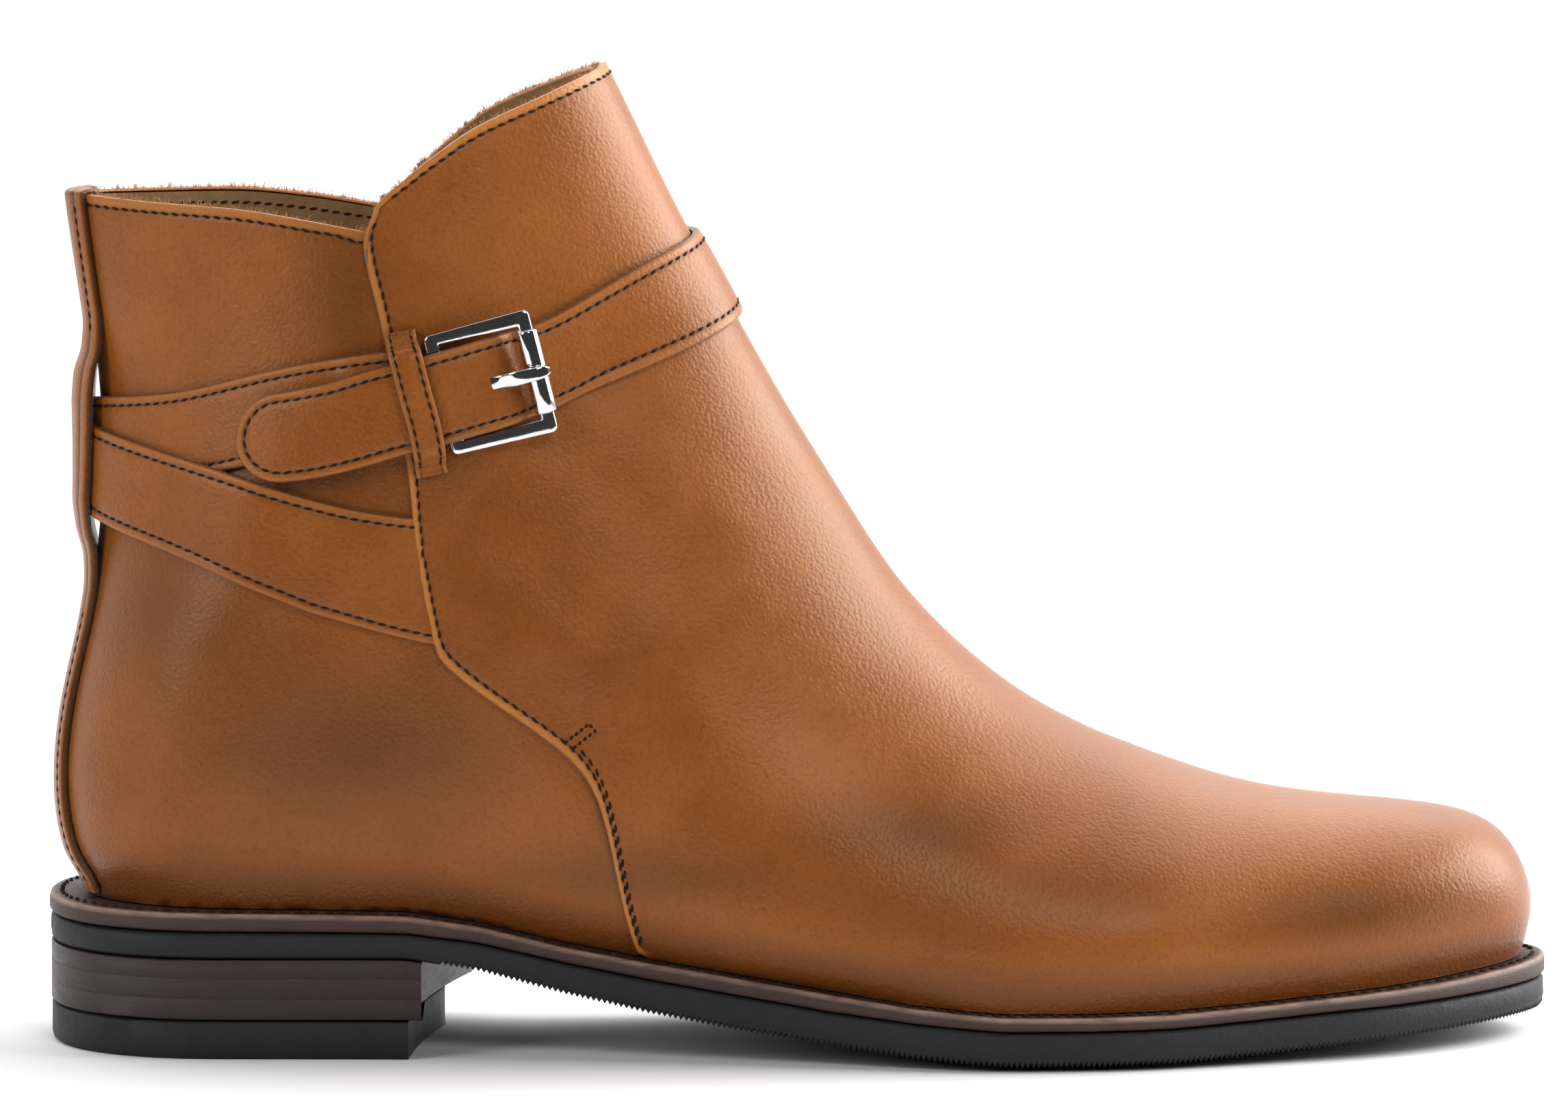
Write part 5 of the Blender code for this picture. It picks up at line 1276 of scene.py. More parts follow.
class Skin:
    """One side's skin of the panel or the quarters: rows up to its rim and lanes up to the panel's edge."""

    def __init__(self, side, panel):
        self.side = side
        self.panel = panel
        self.inset = 0.0 if panel else PANEL_STEP
        lanes = PANEL_LANES if panel else QUARTER_LANES
        top_height = panel_top_height if panel else quarter_top_height
        first = 0 if panel else PANEL_ROW
        self.lane_turns = lane_table(side, lanes, panel)
        places, turns = skin_places(side, self.lane_turns, top_height, INNER_PANEL_SHIFT if panel else 0.0)
        self.places = places[first:]
        self.turns = turns[first:]
        points = section_points(self.places, self.turns, side, self.inset)
        deeper = section_points(self.places, self.turns, side, self.inset + SKIN_PROBE)
        self.outward = grid_normals(points, points - deeper)
        self.to_edge = np.broadcast_to(edge_gaps(lanes + 1), points.shape[:2])
        self.gap = np.broadcast_to(edge_gaps(len(points))[:, None], points.shape[:2])
        if panel:
            on_edge = np.arange(len(points))[:, None] >= PANEL_ROW
            self.gap = np.minimum(self.gap, np.where(on_edge, self.to_edge, 1.0))
        channel = -CHANNEL_DEPTH * np.exp(-((self.gap - SEAM_GAP) / CHANNEL_WIDTH) ** 2)
        rise = relief(points, side) + channel
        self.points = points + self.outward * rise[..., None]

    def add_face(self, leather):
        """Adds the skin, painted."""
        dark = patina_and_shade(self.points, self.side)
        if not self.panel:
            # Painted shadow of the panel's raised edge on the quarter
            edge_shadow = PANEL_EDGE_SHADOW * np.exp(-(self.to_edge - PANEL_EDGE_SHADOW_GAP) / PANEL_EDGE_SHADOW_REACH)
            dark = np.maximum(dark, edge_shadow)
        edge_light = PANEL_LIGHT if self.panel else QUARTER_LIGHT
        light = edge_light * (1 - ease((self.gap - LIGHT_FROM) / LIGHT_FADE))
        # Dark line along the stitch channel, partly painted shade of the threads
        ink = SEAM_INK_AND_SHADE * np.exp(-((self.gap - SEAM_GAP) / SEAM_INK_AND_SHADE_WIDTH) ** 2)
        leather.grid(self.points, dark=dark, light=light, ink=ink)

    def add_rim(self, leather, fibres):
        """Adds the rounded rim, over to the lining, with its fibres."""
        depth = np.linspace(0, pi, RIM_STEPS)
        insets = self.inset + (INNER_INSET - self.inset) / 2 * (1 - np.cos(depth))
        rises = RIM_RISE * np.sin(depth) ** RIM_FULLNESS
        rim = [section_points(self.places[-1], self.turns[-1], self.side, inset) for inset in insets]
        rim = np.array(rim) + rises[:, None, None] * np.array((0, 0, 1.0))
        rim[0] = self.points[-1]
        leather.grid(rim, light=RIM_LIGHT)
        seed = FIBRE_SEEDS[self.side] + self.panel
        add_fibres(fibres, rim[FIBRE_STEP], self.outward[-1], seed)

    def add_lining(self, lining, thread):
        """Adds the inner skin and the stitches that show on it."""
        turns = self.turns
        if not self.panel:
            edges = np.interp(self.places, WORK_PLACES, self.lane_turns[:, -1] + UNDERLAP)
            turns = np.maximum(turns, edges)
        inside = section_points(self.places, turns, self.side, INNER_INSET)
        lining.grid(inside[::2, ::2])
        shallower = section_points(self.places, turns, self.side, INNER_INSET - SKIN_PROBE)
        inward = grid_normals(inside, inside - shallower)
        stitch_row(thread, inside[SECOND_LANE], inward[SECOND_LANE])

    def stitch(self, thread, run):
        """Adds stitches along a run of rows or lanes."""
        stitch_row(thread, self.points[run], self.outward[run], slant=STITCH_SLANT * self.side)

    def add_panel_edge(self, leather, thread):
        """Adds the panel's cut edge, its rows of stitches and the tack."""
        places = self.places[:, -1]
        turns = self.turns[:, -1]
        edge = section_points(places, turns, self.side, 0.0)
        before = section_points(places, turns - EDGE_PROBE, self.side, 0.0)
        rate = np.maximum(np.linalg.norm(edge - before, axis=1), TINY) / EDGE_PROBE
        roll = [self.points[:, -1]]
        for deep, past in EDGE_ROLL:
            beyond = np.minimum(turns + past * PANEL_STEP / rate, 2.0)
            roll.append(section_points(places, beyond, self.side, deep * PANEL_STEP))
        leather.grid(np.stack(roll, axis=1), **EDGE_PAINT)
        self.stitch(thread, np.s_[PANEL_ROW:STITCH_LANE, STITCH_LANE])
        self.stitch(thread, np.s_[STITCH_LANE, :STITCH_LANE])
        below_tack = self.points[PANEL_ROW:, SECOND_LANE, 2] < TACK["z"] * COLLAR_HEIGHT
        self.stitch(thread, np.s_[PANEL_ROW : PANEL_ROW + int(np.sum(below_tack)), SECOND_LANE])
        add_tack(thread, leather, self.side)

    def add_quarter_foot(self, leather, thread):
        """Adds the quarters' stitches and the turn at their foot, painted dark as shade where it tucks under.
        """
        self.stitch(thread, np.s_[STITCH_LANE, :LAP_LANE])
        foot = slice(0, HEEL_ROW - PANEL_ROW + 1)
        under = [self.points[foot, 0]]
        for deep in FOOT_TURN:
            inset = self.inset + deep * PANEL_STEP
            row = section_points(self.places[foot, 0], self.turns[foot, 0], self.side, inset)
            under.append(row - np.array((0, 0, min(deep, FOOT_DROP_END) * FOOT_DROP)))
        # The turn under the heel is painted fully dark, as painted shade
        leather.grid(np.stack(under, axis=1), dark=1.0)


def make_upper():
    """The upper's skins with the panel's edge, the rims and the stitches."""
    leather = Shell(*PAINTS)
    lining = Shell()
    thread = Shell()
    fibres = Shell()
    for side in (-1, 1):
        for panel in (True, False):
            skin = Skin(side, panel)
            skin.add_face(leather)
            skin.add_rim(leather, fibres)
            skin.add_lining(lining, thread)
            if panel:
                skin.add_panel_edge(leather, thread)
            else:
                skin.add_quarter_foot(leather, thread)
    leather.finish("upper_leather", CALF, "tan_calf", "upper")
    lining.finish("upper_lining", LINING, "insole_leather", "upper", smooth_angle=60)
    thread.finish("upper_stitches", THREADS, "tan_calf", smooth_angle=60)
    fibres.finish("rim_fibres", SUEDE, "insole_leather", smooth_angle=60)


# Across a strap, from its edge inwards: distance from the edge in metres, height in thicknesses, and how
# light and how darkened the leather is there, darkened for inked cut edges and for painted shade in the
# stitch channel
STRAP_EDGE = table("way height light ink", (
    (0.0, 0.00, 0.0, 0.70),
    (0.0, 0.40, 0.0, 0.60),
    (0.00010, 0.74, 0.0, 0.45),
    (0.00030, 0.93, 0.2, 0.10),
    (0.00060, 1.00, 0.3, 0.0),
    (0.00110, 1.02, 0.2, 0.0),
    (0.00155, 1.00, 0.0, 0.1),
    (0.00178, 0.92, 0.0, 0.5),
    (0.00195, 0.90, 0.0, 0.7),
    (0.00212, 0.92, 0.0, 0.5),
    (0.00240, 1.01, 0.0, 0.1),
    (0.00330, 1.05, 0.0, 0.0),
    (0.00500, 1.07, 0.0, 0.0),
))
STRAP_STITCH_LANE = 8
SLIM = 0.0055


def edge_scale(halves):
    """How much closer together the edge's lanes lie on a narrow strap."""
    return np.minimum(1.0, halves / SLIM)


def lane_values(name):
    """One column of the edge table, for the lanes from edge to edge."""
    return np.concatenate((STRAP_EDGE[name], STRAP_EDGE[name][::-1]))


ROOT_TUCK = 0.0009
ROOT_REACH = 0.0045
TIP_STEPS = 26
TIP_CLEAR = 0.0003
TIP_HALF = 0.0001
# Painted shade of the hole where the prong goes through the long strap: how far it reaches, and how far out
# from the buckle's middle it lies, as a share of roller and prong radii
HOLE_SHADE_REACH = 0.0017
HOLE_SHADE_RISE = 0.45
STRAP_PROBE = 0.003
LONG_STEPS = 420
SHORT_STEPS = 200
KEEPER_STEPS = 90


def edge_lane(path, way, distance, tipped):
    """The stations and half width of the lanes that lie a distance inside both edges of a strap."""
    angles, heights, halves = path[:3]
    stations = way
    inner = halves - distance * edge_scale(halves)
    if tipped:
        radius = STRAP_WIDTH / 2
        bend = np.linspace(0, pi / 2, TIP_STEPS)
        straight = way[way < way[-1] - radius - TIP_CLEAR]
        stations = np.append(straight, way[-1] - radius + (radius - distance) * np.sin(bend))
        inner = np.interp(stations, way, inner) * np.append(np.ones(len(straight)), np.cos(bend))
    return [np.interp(stations, way, values) for values in (angles, heights)] + [inner], stations


def make_strap(node, thread, path, thickness, hole_shade=None, rooted=False, tipped=False):
    """A strap with rounded edges and a stitched row along each, which runs on round its tip."""
    angles, heights, halves, low, high = path
    way = path_way(on_leather(angles, heights))
    if rooted:
        tuck = ROOT_TUCK * (1 - ease(way / ROOT_REACH))
        low = low - tuck
        high = high - tuck
    lanes = []
    for distance in STRAP_EDGE["way"]:
        lane, stations = edge_lane(path, way, distance, tipped)
        lift = [np.interp(stations, way, values) for values in (low, high)]
        lanes.append((*across_path(*lane, (-1, 1)), lift, lane[2]))
    lane_angles, lane_heights = (np.concatenate(
        ([lane[k][:, 0] for lane in lanes], [lane[k][:, 1] for lane in lanes[::-1]])
    ).T for k in (0, 1))
    if rooted:
        lane_angles = root_at_panel(lane_angles, lane_heights)
    halves = np.maximum(lanes[0][3], TIP_HALF)
    shares = np.array([lane[3] for lane in lanes]) / halves
    shares = np.concatenate((-shares, shares[::-1])).T
    blend = (shares + 1) / 2
    low, high = lanes[0][2]
    lifts = low[:, None] * (1 - blend) + high[:, None] * blend
    points = on_leather(lane_angles, lane_heights, lifts + lane_values("height") * thickness)
    outward = unit(on_leather(lane_angles, lane_heights, lifts + STRAP_PROBE) - points)
    ink = np.broadcast_to(lane_values("ink"), points.shape[:2])
    # Painted shade of the prong's hole in the strap
    if hole_shade is not None:
        ink = np.maximum(ink, np.exp(-(np.linalg.norm(points - hole_shade, axis=-1) / HOLE_SHADE_REACH) ** 2))
    leather = Shell(*PAINTS)
    leather.tube(points, light=lane_values("light"), ink=ink)
    leather.finish(node + "_leather", STRAP_CALF, "strap_calf", node)
    near = points[2:, STRAP_STITCH_LANE], outward[2:, STRAP_STITCH_LANE]
    far = points[2:, -1 - STRAP_STITCH_LANE], outward[2:, -1 - STRAP_STITCH_LANE]
    if tipped:
        stitch_row(thread, *(np.concatenate((first, second[-2::-1])) for first, second in zip(near, far)))
    else:
        stitch_row(thread, *near)
        stitch_row(thread, *far)


def fine_path(rows, steps):
    """A strap table as smooth arrays, evenly spaced."""
    way = np.abs(rows["turn"] - rows["turn"][0])
    places = np.linspace(0, way[-1], steps)
    turn = rows["turn"][0] + np.sign(rows["turn"][-1] - rows["turn"][0]) * places
    return (
        -np.radians(turn),
        natural_spline(way, rows["z"])(places) * COLLAR_HEIGHT,
        natural_spline(way, rows["half"])(places) * STRAP_WIDTH,
        steady_spline(way, rows["low_lift"])(places) * STRAP_THICKNESS,
        steady_spline(way, rows["high_lift"])(places) * STRAP_THICKNESS,
    )


def make_straps():
    """Both straps and the keeper."""
    thread = Shell()
    # Where the painted shade of the prong's hole lies
    hole_shade = on_buckle(np.array((0.0, 0.0, HOLE_SHADE_RISE * (ROLLER_RADIUS + PRONG_RADIUS))))
    long_path = fine_path(LONG_STRAP, LONG_STEPS)
    make_strap("strap_long", thread, long_path, STRAP_THICKNESS, hole_shade, rooted=True, tipped=True)
    make_strap("strap_buckle", thread, fine_path(SHORT_STRAP, SHORT_STEPS), STRAP_THICKNESS, rooted=True)
    rows = np.arange(len(KEEPER["turn"]))
    places = np.linspace(0, rows[-1], KEEPER_STEPS)
    turn, height, lift = (steady_spline(rows, KEEPER[name])(places) for name in ("turn", "z", "lift"))
    half = np.full(len(places), KEEPER_WIDTH / 2)
    lift = lift * KEEPER_THICKNESS
    path = (-np.radians(turn), height * COLLAR_HEIGHT, half, lift, lift)
    make_strap("keeper", thread, path, KEEPER_THICKNESS)
    thread.finish("strap_stitches", THREADS, "strap_calf", smooth_angle=60)


BACKSTAY_STEPS = 150

# The backstay isn't stitched where its loop stands off
BACKSTAY_STITCHED = (slice(2, 62), slice(118, BACKSTAY_STEPS))
BACKSTAY_PROBE = 0.001
BACKSTAY_LIGHT = 0.5
# How much stronger the near-black paint is on the backstay: inked edges and painted shade in its stitch
# channels
BACKSTAY_INK_AND_SHADE = 1.25
FOLD_STEPS = 13
FOLD_DROP = 0.0019
FOLD_FROM = 0.76
FOLD_RISE = 0.8
FOLD_FULLNESS = 0.7
INSIDE_STEPS = 8
INSIDE_START = 0.05


def make_backstay():
    """The backstay with its loop over both straps and its fold over the collar."""
    foot = (HEEL_FEATHER_Z + BACKSTAY_CLEARANCE) / COLLAR_HEIGHT
    shares = np.linspace(foot, BACKSTAY["z"][-1], BACKSTAY_STEPS)
    halves = natural_spline(BACKSTAY["z"], BACKSTAY["half"])(shares) * BACKSTAY_WIDTH
    lifts = steady_spline(BACKSTAY["z"], BACKSTAY["lift"])(shares) * BACKSTAY_THICKNESS
    heights = shares * COLLAR_HEIGHT
    heights = heights - FOLD_DROP * ease((shares - FOLD_FROM) / (shares[-1] - FOLD_FROM))
    rim = heights[-1]
    inner_seat = -WALL - GAP
    middle = (GAP + inner_seat) / 2
    reach = (GAP - inner_seat) / 2
    fold = np.linspace(0, pi, FOLD_STEPS)
    inside = np.full(INSIDE_STEPS, inner_seat)
    inside_z = rim - np.linspace(INSIDE_START, 1.0, INSIDE_STEPS) * BACKSTAY_FOLD
    under_z = np.concatenate((heights, rim + GAP * np.sin(fold), inside_z))
    over_rise = BACKSTAY_THICKNESS * FOLD_RISE * np.sin(fold) ** FOLD_FULLNESS
    over_z = np.concatenate((heights, rim + over_rise, inside_z))
    under = np.concatenate((lifts, middle + reach * np.cos(fold), inside))
    over_fold = middle + (reach + BACKSTAY_THICKNESS) * np.cos(fold)
    over = np.concatenate((lifts + BACKSTAY_THICKNESS, over_fold, inside - BACKSTAY_THICKNESS))
    half = np.concatenate((halves, np.full(FOLD_STEPS + INSIDE_STEPS, halves[-1])))
    near = 1 - STRAP_EDGE["way"][:, None] * edge_scale(half) / half
    across = np.concatenate((-near, near[::-1])).T
    high = np.minimum(lane_values("height"), 1.0)[None, :]
    z = under_z[:, None] + (over_z - under_z)[:, None] * high
    lift = under[:, None] + (over - under)[:, None] * high
    angles = pi + across * half[:, None] / leg_distance(np.full_like(z, pi), z)
    points = on_leather(angles, z, lift)
    leather = Shell(*PAINTS)
    ink = np.minimum(1.0, BACKSTAY_INK_AND_SHADE * lane_values("ink"))
    leather.tube(points, light=BACKSTAY_LIGHT * lane_values("light"), ink=ink)
    leather.finish("backstay_leather", STRAP_CALF, "strap_calf", "backstay")
    outward = unit(on_leather(angles, z, lift + BACKSTAY_PROBE) - points)
    thread = Shell()
    for lane in (STRAP_STITCH_LANE, -1 - STRAP_STITCH_LANE):
        for run in BACKSTAY_STITCHED:
            stitch_row(thread, points[run, lane], outward[run, lane])
    thread.finish("backstay_stitches", THREADS, "strap_calf", smooth_angle=60)


# Sole
TOOTH_PITCH = 0.00112
TOOTH_DEPTH = 0.0008
TOOTH_RINGS = 2
COARSE_STEP = 0.0025
OUTLINE_SAMPLES = 1500
CROSS_LANES = 12
BREAST_X = 0.262
BREAST_SLANT = 0.19
BREAST_HOLLOW = 0.0022
BREAST_CLEAR = 0.012
HEEL_HALF = 0.32
NOTCH_START = 0.12
NOTCH_SLANT = 0.75
NOTCH_STATION = 0.205
CROWN_START = 0.42
CROWN_RISE = 0.16
CROWN_FALL = 0.25
LEDGE_STEP = 0.001
LEDGE_SEAM = 0.0024
LEDGE_LIFT = 0.0001
LEDGE_STITCH = {"pitch": 0.003, "length": 0.0027, "thread": 0.00042}
LEDGE_SLANT = 0.3

# The rings of outsole and welt, from the underside up: how far drawn in, level and lift
OUTSOLE_RINGS = (
    (0.0009, underside_level, 0.0),
    (0.0003, underside_level, 0.0007),
    (0.0003, underside_level, 0.0017),
    (0.0001, underside_level, 0.0021),
    (0.0002, seam_level, -0.0008),
    (0.0006, seam_level, -0.0002),
    (0.0010, seam_level, 0.0),
)
WELT_RINGS = (
    (0.0009, seam_level, GAP),
    (0.0004, seam_level, 0.0005),
    (-0.0001, seam_level, 0.0011),
    (-0.0001, top_level, -0.0012),
    (0.0001, top_level, -0.0004),
    (0.0005, top_level, -0.0001),
    (0.0011, top_level, 0.0),
)

# How light each of the welt's rings is painted: its top outer edge partly from wear, partly as a painted
# highlight
WELT_WEAR_AND_HIGHLIGHT = (0.0, 0.0, 0.0, 0.0, 0.75, 0.90, 0.15)

# The heel stack's rings, with the grooves between its lifts: how far drawn in, share of the way up and lift
STACK_RINGS = (
    (0.0006, 0.0, 0.0),
    (0.0002, 0.0, 0.0004),
    (0.0002, 0.36, -0.0001),
    (0.00027, 0.36, 0.0),
    (0.0002, 0.36, 0.0001),
    (0.0002, 0.70, -0.0001),
    (0.00027, 0.70, 0.0),
    (0.0002, 0.70, 0.0001),
    (0.0002, 1.0, -0.0004),
    (0.0005, 1.0, 0.0),
)

# The top piece's rings: how far drawn in, and height
TOP_PIECE_RINGS = (
    (0.0012, 0.0),
    (0.0005, 0.0007),
    (0.0003, 0.0016),
    (0.0003, TOP_PIECE_HEIGHT - 0.0004),
    (0.0007, TOP_PIECE_HEIGHT),
)


def breast(y):
    """The heel's front edge at y."""
    across = y / (HEEL_HALF * BALL_WIDTH)
    return BREAST_X * LENGTH + BREAST_SLANT * y - BREAST_HOLLOW * (1 - across * across)


def notched_breast(y):
    """The top piece's front edge, with its inner corner cut off."""
    return breast(y) - np.maximum(0.0, y - NOTCH_START * BALL_WIDTH) * NOTCH_SLANT


def forefoot(x_share):
    """How far the sole's crown is formed."""
    return ease((x_share - CROWN_START) / CROWN_RISE) * ease((1.0 - x_share) / CROWN_FALL)


def even_stations(start, stop, step):
    """Stations evenly spaced along the outline."""
    fine = start + (stop - start) * (1 - np.cos(np.linspace(0, pi, OUTLINE_SAMPLES))) / 2
    x, y = outline_point(fine, -1, 0.0)
    way = path_way(np.stack((x, y), axis=1))
    return np.interp(np.linspace(0, way[-1], int(way[-1] / step) | 1), way, fine)


def sole_layer(shell, stations, rings, front=None, crown=0.0, teeth=0.0, wear_and_highlight=0.0):
    """Adds a layer of the sole. Each ring has an inset and a height function."""
    valley = teeth * (np.arange(len(stations)) % 2) * (stations > BREAST_X)
    loops = []
    for number, (inset, height) in enumerate(rings):
        lines = []
        for side in (-1, 1):
            x, y = outline_point(stations, side, inset)
            if front is not None:
                x = np.append(x[:-1], front(y[-1]))
            lift = valley if number < TOOTH_RINGS else 0.0
            lines.append(np.stack((x, y, np.maximum(0.0, height(x)) + lift), axis=1))
        loops.append(lines)
    light = np.broadcast_to(wear_and_highlight, len(rings))[:, None]
    for k in (0, 1):
        shell.grid(np.array([lines[k] for lines in loops]), light=light)
    shares = np.linspace(0, 1, CROSS_LANES)[None, :, None]

    def across(lines, height, dip):
        points = lines[0][:, None, :] * (1 - shares) + lines[1][:, None, :] * shares
        if front is not None:
            points[-1, :, 0] = front(points[-1, :, 1])
        lane = (2 * shares[..., 0] - 1) ** 2
        drop = dip * (1 - lane) * forefoot(points[..., 0] / LENGTH)
        points[..., 2] = np.maximum(0.0, height(points[..., 0]) - drop)
        return points

    ribs = across(loops[0], rings[0][1], crown)
    ribs[..., 2] += valley[:, None]
    shell.grid(ribs)
    shell.grid(across(loops[-1], rings[-1][1], 0.0))
    if front is not None:
        rows = [across([line[-1:] for line in lines], ring[1], 0.0)[0] for lines, ring in zip(loops, rings)]
        shell.grid(np.array(rows))


def stack_height(share, lift):
    """The height function at a share of the way up the heel stack."""
    foot = TOP_PIECE_HEIGHT + GAP
    head = level(underside_level, -GAP)
    return lambda x: foot + (head(x) - foot) * share + lift


def flat_height(z):
    """The height function of a level ring."""
    return lambda x: np.full(np.shape(x), z)


def make_sole():
    """Outsole, welt, heel stack and top piece, with the welt's stitches."""
    whole = even_stations(0.0, 1.0, TOOTH_PITCH / 2)
    coarse = even_stations(0.0, 1.0, COARSE_STEP)
    heel = np.append(coarse[coarse < BREAST_X - BREAST_CLEAR], BREAST_X)
    short = np.append(coarse[coarse < NOTCH_STATION], BREAST_X)

    outsole = Shell()
    rings = [(inset, level(curve, lift)) for inset, curve, lift in OUTSOLE_RINGS]
    sole_layer(outsole, whole, rings, crown=SOLE_CROWN, teeth=TOOTH_DEPTH)
    outsole.finish("outsole_rubber", RUBBER, "outsole_rubber", "outsole")

    welt = Shell("light")
    rings = [(inset, level(curve, lift)) for inset, curve, lift in WELT_RINGS]
    sole_layer(welt, coarse, rings, wear_and_highlight=WELT_WEAR_AND_HIGHLIGHT)
    welt.finish("welt_edge", WELT_LEATHER, "welt_leather", "welt")

    thread = Shell()
    ledge = even_stations(0.0, 1.0, LEDGE_STEP)
    for side in (-1, 1):
        x, y = outline_point(ledge, side, LEDGE_SEAM)
        path = np.stack((x, y, level(top_level, LEDGE_LIFT)(x)), axis=1)
        up = np.broadcast_to(np.array((0.0, 0.0, 1.0)), path.shape)
        stitch_row(thread, path, up, slant=LEDGE_SLANT * side, **LEDGE_STITCH)
    thread.finish("welt_stitches", THREADS, "welt_leather", smooth_angle=60)

    stack = Shell()
    rings = [(inset, stack_height(share, lift)) for inset, share, lift in STACK_RINGS]
    sole_layer(stack, heel, rings, front=breast)
    stack.finish("heel_stack_leather", HEEL_LEATHER, "heel_leather", "heel_stack")

    top_piece = Shell()
    rings = [(inset, flat_height(z)) for inset, z in TOP_PIECE_RINGS]
    sole_layer(top_piece, short, rings, front=notched_breast)
    top_piece.finish("top_piece_rubber", TOP_RUBBER, "top_piece_rubber", "heel_top_piece")


# Buckle
ARM_FLARE = 0.14
ROUND_SIDES = 28
BLUNT = 0.36
OUTER_CORNER = 0.0013
INNER_CORNER = 0.0003
CORNERS = ((1, 1, 0), (-1, 1, 90), (-1, -1, 180), (1, -1, 270))
CORNER_STEPS = 9
ROLLER_SIDES = 48
PRONG_STEPS = 60

# The roller's rim, from its bore out: how far inside its radius and inside its end
ROLLER_RIM = ((ROLLER_WALL, 0.0002), (0.0003, 0.0), (0.0001, 0.0001), (0.0, 0.0004))


def on_buckle(points):
    """Points given on the buckle's axes, in the boot's."""
    turn = np.array(BUCKLE.to_3x3())
    return points @ turn.T + np.array(BUCKLE.translation)


def blunt_ring(wide, thick):
    """A rounded box section, as in-plane and outward parts."""
    flat, high = circle(ROUND_SIDES)
    return np.sign(flat) * np.abs(flat) ** BLUNT * wide, np.sign(high) * np.abs(high) ** BLUNT * thick


def make_buckle_frame():
    """The buckle's frame, whose arms spread towards the roller."""
    flat, high = blunt_ring(1.0, BUCKLE_DEPTH)
    rings = []
    for side_u, side_v, start in CORNERS:
        for turn in np.radians(start + np.linspace(0, 90, CORNER_STEPS)):
            normal = np.array((cos(turn), sin(turn), 0.0))
            edges = []
            for way, radius in ((1, OUTER_CORNER), (-1, INNER_CORNER)):
                wide = way * BUCKLE_WIRE - radius
                flare = way * BUCKLE_WIRE * ARM_FLARE * side_u
                corner = (side_u * (BAR_SPACING / 2 + wide), side_v * (BUCKLE_HEIGHT / 2 + wide + flare), 0.0)
                edges.append(np.array(corner) + normal * radius)
            middle = (edges[0] + edges[1]) / 2
            rings.append(middle + np.outer(flat, (edges[0] - edges[1]) / 2) + np.outer(high, (0.0, 0.0, 1.0)))
    rings = on_buckle(np.array(rings))
    shell = Shell()
    shell.grid(np.concatenate((rings, rings[:1])), closed=True)
    shell.finish("buckle_frame_chrome", CHROME, "plated_steel", "buckle_frame", smooth_angle=60)


def make_roller():
    """The roller, a tube round the frame's outer bar."""
    half = ROLLER_LENGTH / 2
    profile = [(ROLLER_RADIUS - inside, -half + back) for inside, back in ROLLER_RIM]
    profile += [(ROLLER_RADIUS, share * half) for share in (-0.5, 0.0, 0.5)]
    profile += [(radius, -place) for radius, place in profile[len(ROLLER_RIM) - 1 :: -1]]
    profile.append(profile[0])
    around = np.linspace(0, 2 * pi, ROLLER_SIDES, endpoint=False)
    rows = [[(BAR_SPACING / 2 + r * cos(a), v, r * sin(a)) for a in around] for r, v in profile]
    shell = Shell()
    shell.grid(on_buckle(np.array(rows)), closed=True)
    shell.finish("buckle_roller_chrome", CHROME, "plated_steel", "buckle_roller")


def make_prong():
    """The prong, from the hidden bar over the roller to its hooked tip."""
    start = -BAR_SPACING / 2 + BUCKLE_WIRE + PRONG_RADIUS + GAP
    over = ROLLER_RADIUS + PRONG_RADIUS + GAP
    guide = table("u w wide thick", (
        (start, -0.0002, 0.60, 0.60),
        (start + 0.0010, 0.0003, 1.15, 0.95),
        (PRONG_KNEE * BAR_SPACING, 0.4 * over, 1.15, 0.98),
        (BAR_SPACING / 2 - 2.0 * ROLLER_RADIUS, 0.86 * over, 1.30, 1.02),
        (BAR_SPACING / 2 - ROLLER_RADIUS, over - 0.0001, 1.22, 1.00),
        (BAR_SPACING / 2, over, 1.12, 0.97),
        (BAR_SPACING / 2 + 0.8 * ROLLER_RADIUS, over - 0.0003, 1.00, 0.85),
        (BAR_SPACING / 2 + 1.25 * ROLLER_RADIUS, over - 0.0005, 0.50, 0.45),
    ))
    place = np.linspace(guide["u"][0], guide["u"][-1], PRONG_STEPS)
    w, wide, thick = (steady_spline(guide["u"], guide[name])(place) for name in ("w", "wide", "thick"))
    rings = []
    for k in range(len(place)):
        flat, high = blunt_ring(wide[k] * PRONG_RADIUS, thick[k] * PRONG_RADIUS)
        rings.append(np.stack((np.full(ROUND_SIDES, place[k]), flat, w[k] + high), axis=1))
    shell = Shell()
    shell.tube(on_buckle(np.array(rings)))
    shell.finish("buckle_prong_chrome", CHROME, "plated_steel", "buckle_prong", smooth_angle=45)


make_upper()
make_straps()
make_backstay()
make_sole()
make_buckle_frame()
make_roller()
make_prong()
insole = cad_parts["insole"].data.materials
insole.clear()
insole.append(FOOTBED)


# Floor, light and camera
FLOOR_FRONT = 0.60
FLOOR_FAR = 8.0


def make_floor():
    """A plain pale floor, which ends in front so that the metal has something dark to mirror."""
    mesh = bpy.data.meshes.new("floor")
    low = -FLOOR_FRONT
    far = FLOOR_FAR
    mesh.from_pydata([(-far, low, 0), (far, low, 0), (far, far, 0), (-far, far, 0)], [], [(0, 1, 2, 3)])
    mesh.materials.append(FLOOR)
    floor = new_object("floor", mesh)


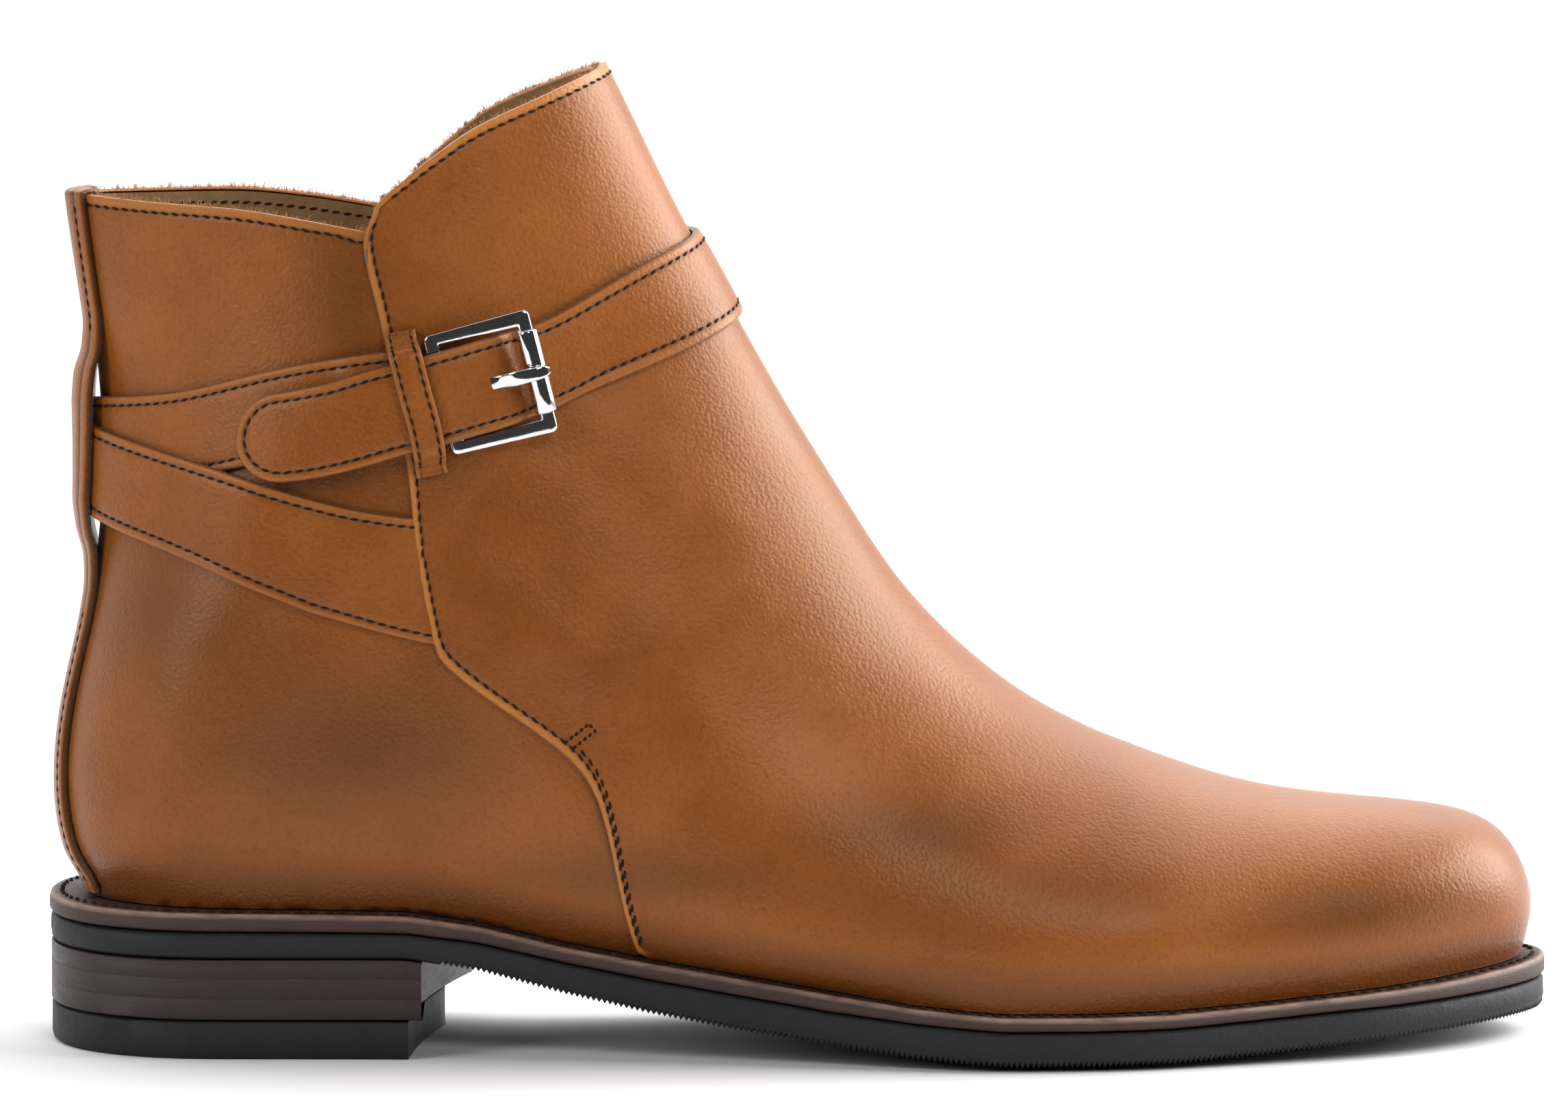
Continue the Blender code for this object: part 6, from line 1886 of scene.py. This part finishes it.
LIGHTS = table("x y z wide high power", (
    (0.20, 1.30, 2.20, 3.60, 3.00, 60.0),
    (1.34, 0.25, 0.66, 1.20, 1.10, 38.0),
    (-1.20, -0.95, 0.80, 0.70, 0.90, 12.0),
    (0.60, -1.50, 1.20, 0.60, 0.60, 9.0),
))
LIGHT_AIM = Vector((0.11, 0.0, 0.09))
SKY_SPAN = {"From Min": -0.35, "From Max": 0.30, "To Min": 0.05, "To Max": 1.25}


def make_lights():
    """Soft boxes, all turned to the boot, and a white sky, dim in front and bright behind."""
    for k in range(len(LIGHTS["x"])):
        data = bpy.data.lights.new("softbox_%d" % k, "AREA")
        data.shape = "RECTANGLE"
        data.size = LIGHTS["wide"][k]
        data.size_y = LIGHTS["high"][k]
        data.energy = LIGHTS["power"][k]
        lamp = new_object(data.name, data)
        lamp.location = (LIGHTS["x"][k], LIGHTS["y"][k], LIGHTS["z"][k])
        lamp.rotation_euler = (LIGHT_AIM - lamp.location).to_track_quat("-Z", "Y").to_euler()
    world = bpy.data.worlds.new("studio")
    world.use_nodes = True
    nodes = world.node_tree.nodes
    links = world.node_tree.links
    parts = nodes.new("ShaderNodeSeparateXYZ")
    links.new(nodes.new("ShaderNodeTexCoord").outputs["Generated"], parts.inputs[0])
    span = nodes.new("ShaderNodeMapRange")
    for name, value in SKY_SPAN.items():
        span.inputs[name].default_value = value
    links.new(parts.outputs["Y"], span.inputs["Value"])
    links.new(span.outputs["Result"], nodes["Background"].inputs["Strength"])
    nodes["Background"].inputs["Color"].default_value = (1.0, 1.0, 1.0, 1.0)
    bpy.context.scene.world = world
    bpy.context.scene.view_settings.view_transform = "Standard"


CAMERA_AIM = Vector((0.1103, 0.0, 0.0988))
CAMERA_RISE = 7.5
CAMERA_FAR = 3.2
LENS = 360.0
SENSOR = 36.0
CLIP_END = 30.0


def make_camera():
    """A long lens on the outer side, a little above the boot."""
    data = bpy.data.cameras.new("camera")
    data.lens = LENS
    data.sensor_width = SENSOR
    data.clip_end = CLIP_END
    camera = new_object("camera", data)
    rise = radians(CAMERA_RISE)
    camera.location = CAMERA_AIM + Vector((0.0, -cos(rise), sin(rise))) * CAMERA_FAR
    camera.rotation_euler = (pi / 2 - rise, 0.0, 0.0)
    bpy.context.scene.camera = camera


make_floor()
make_lights()
make_camera()
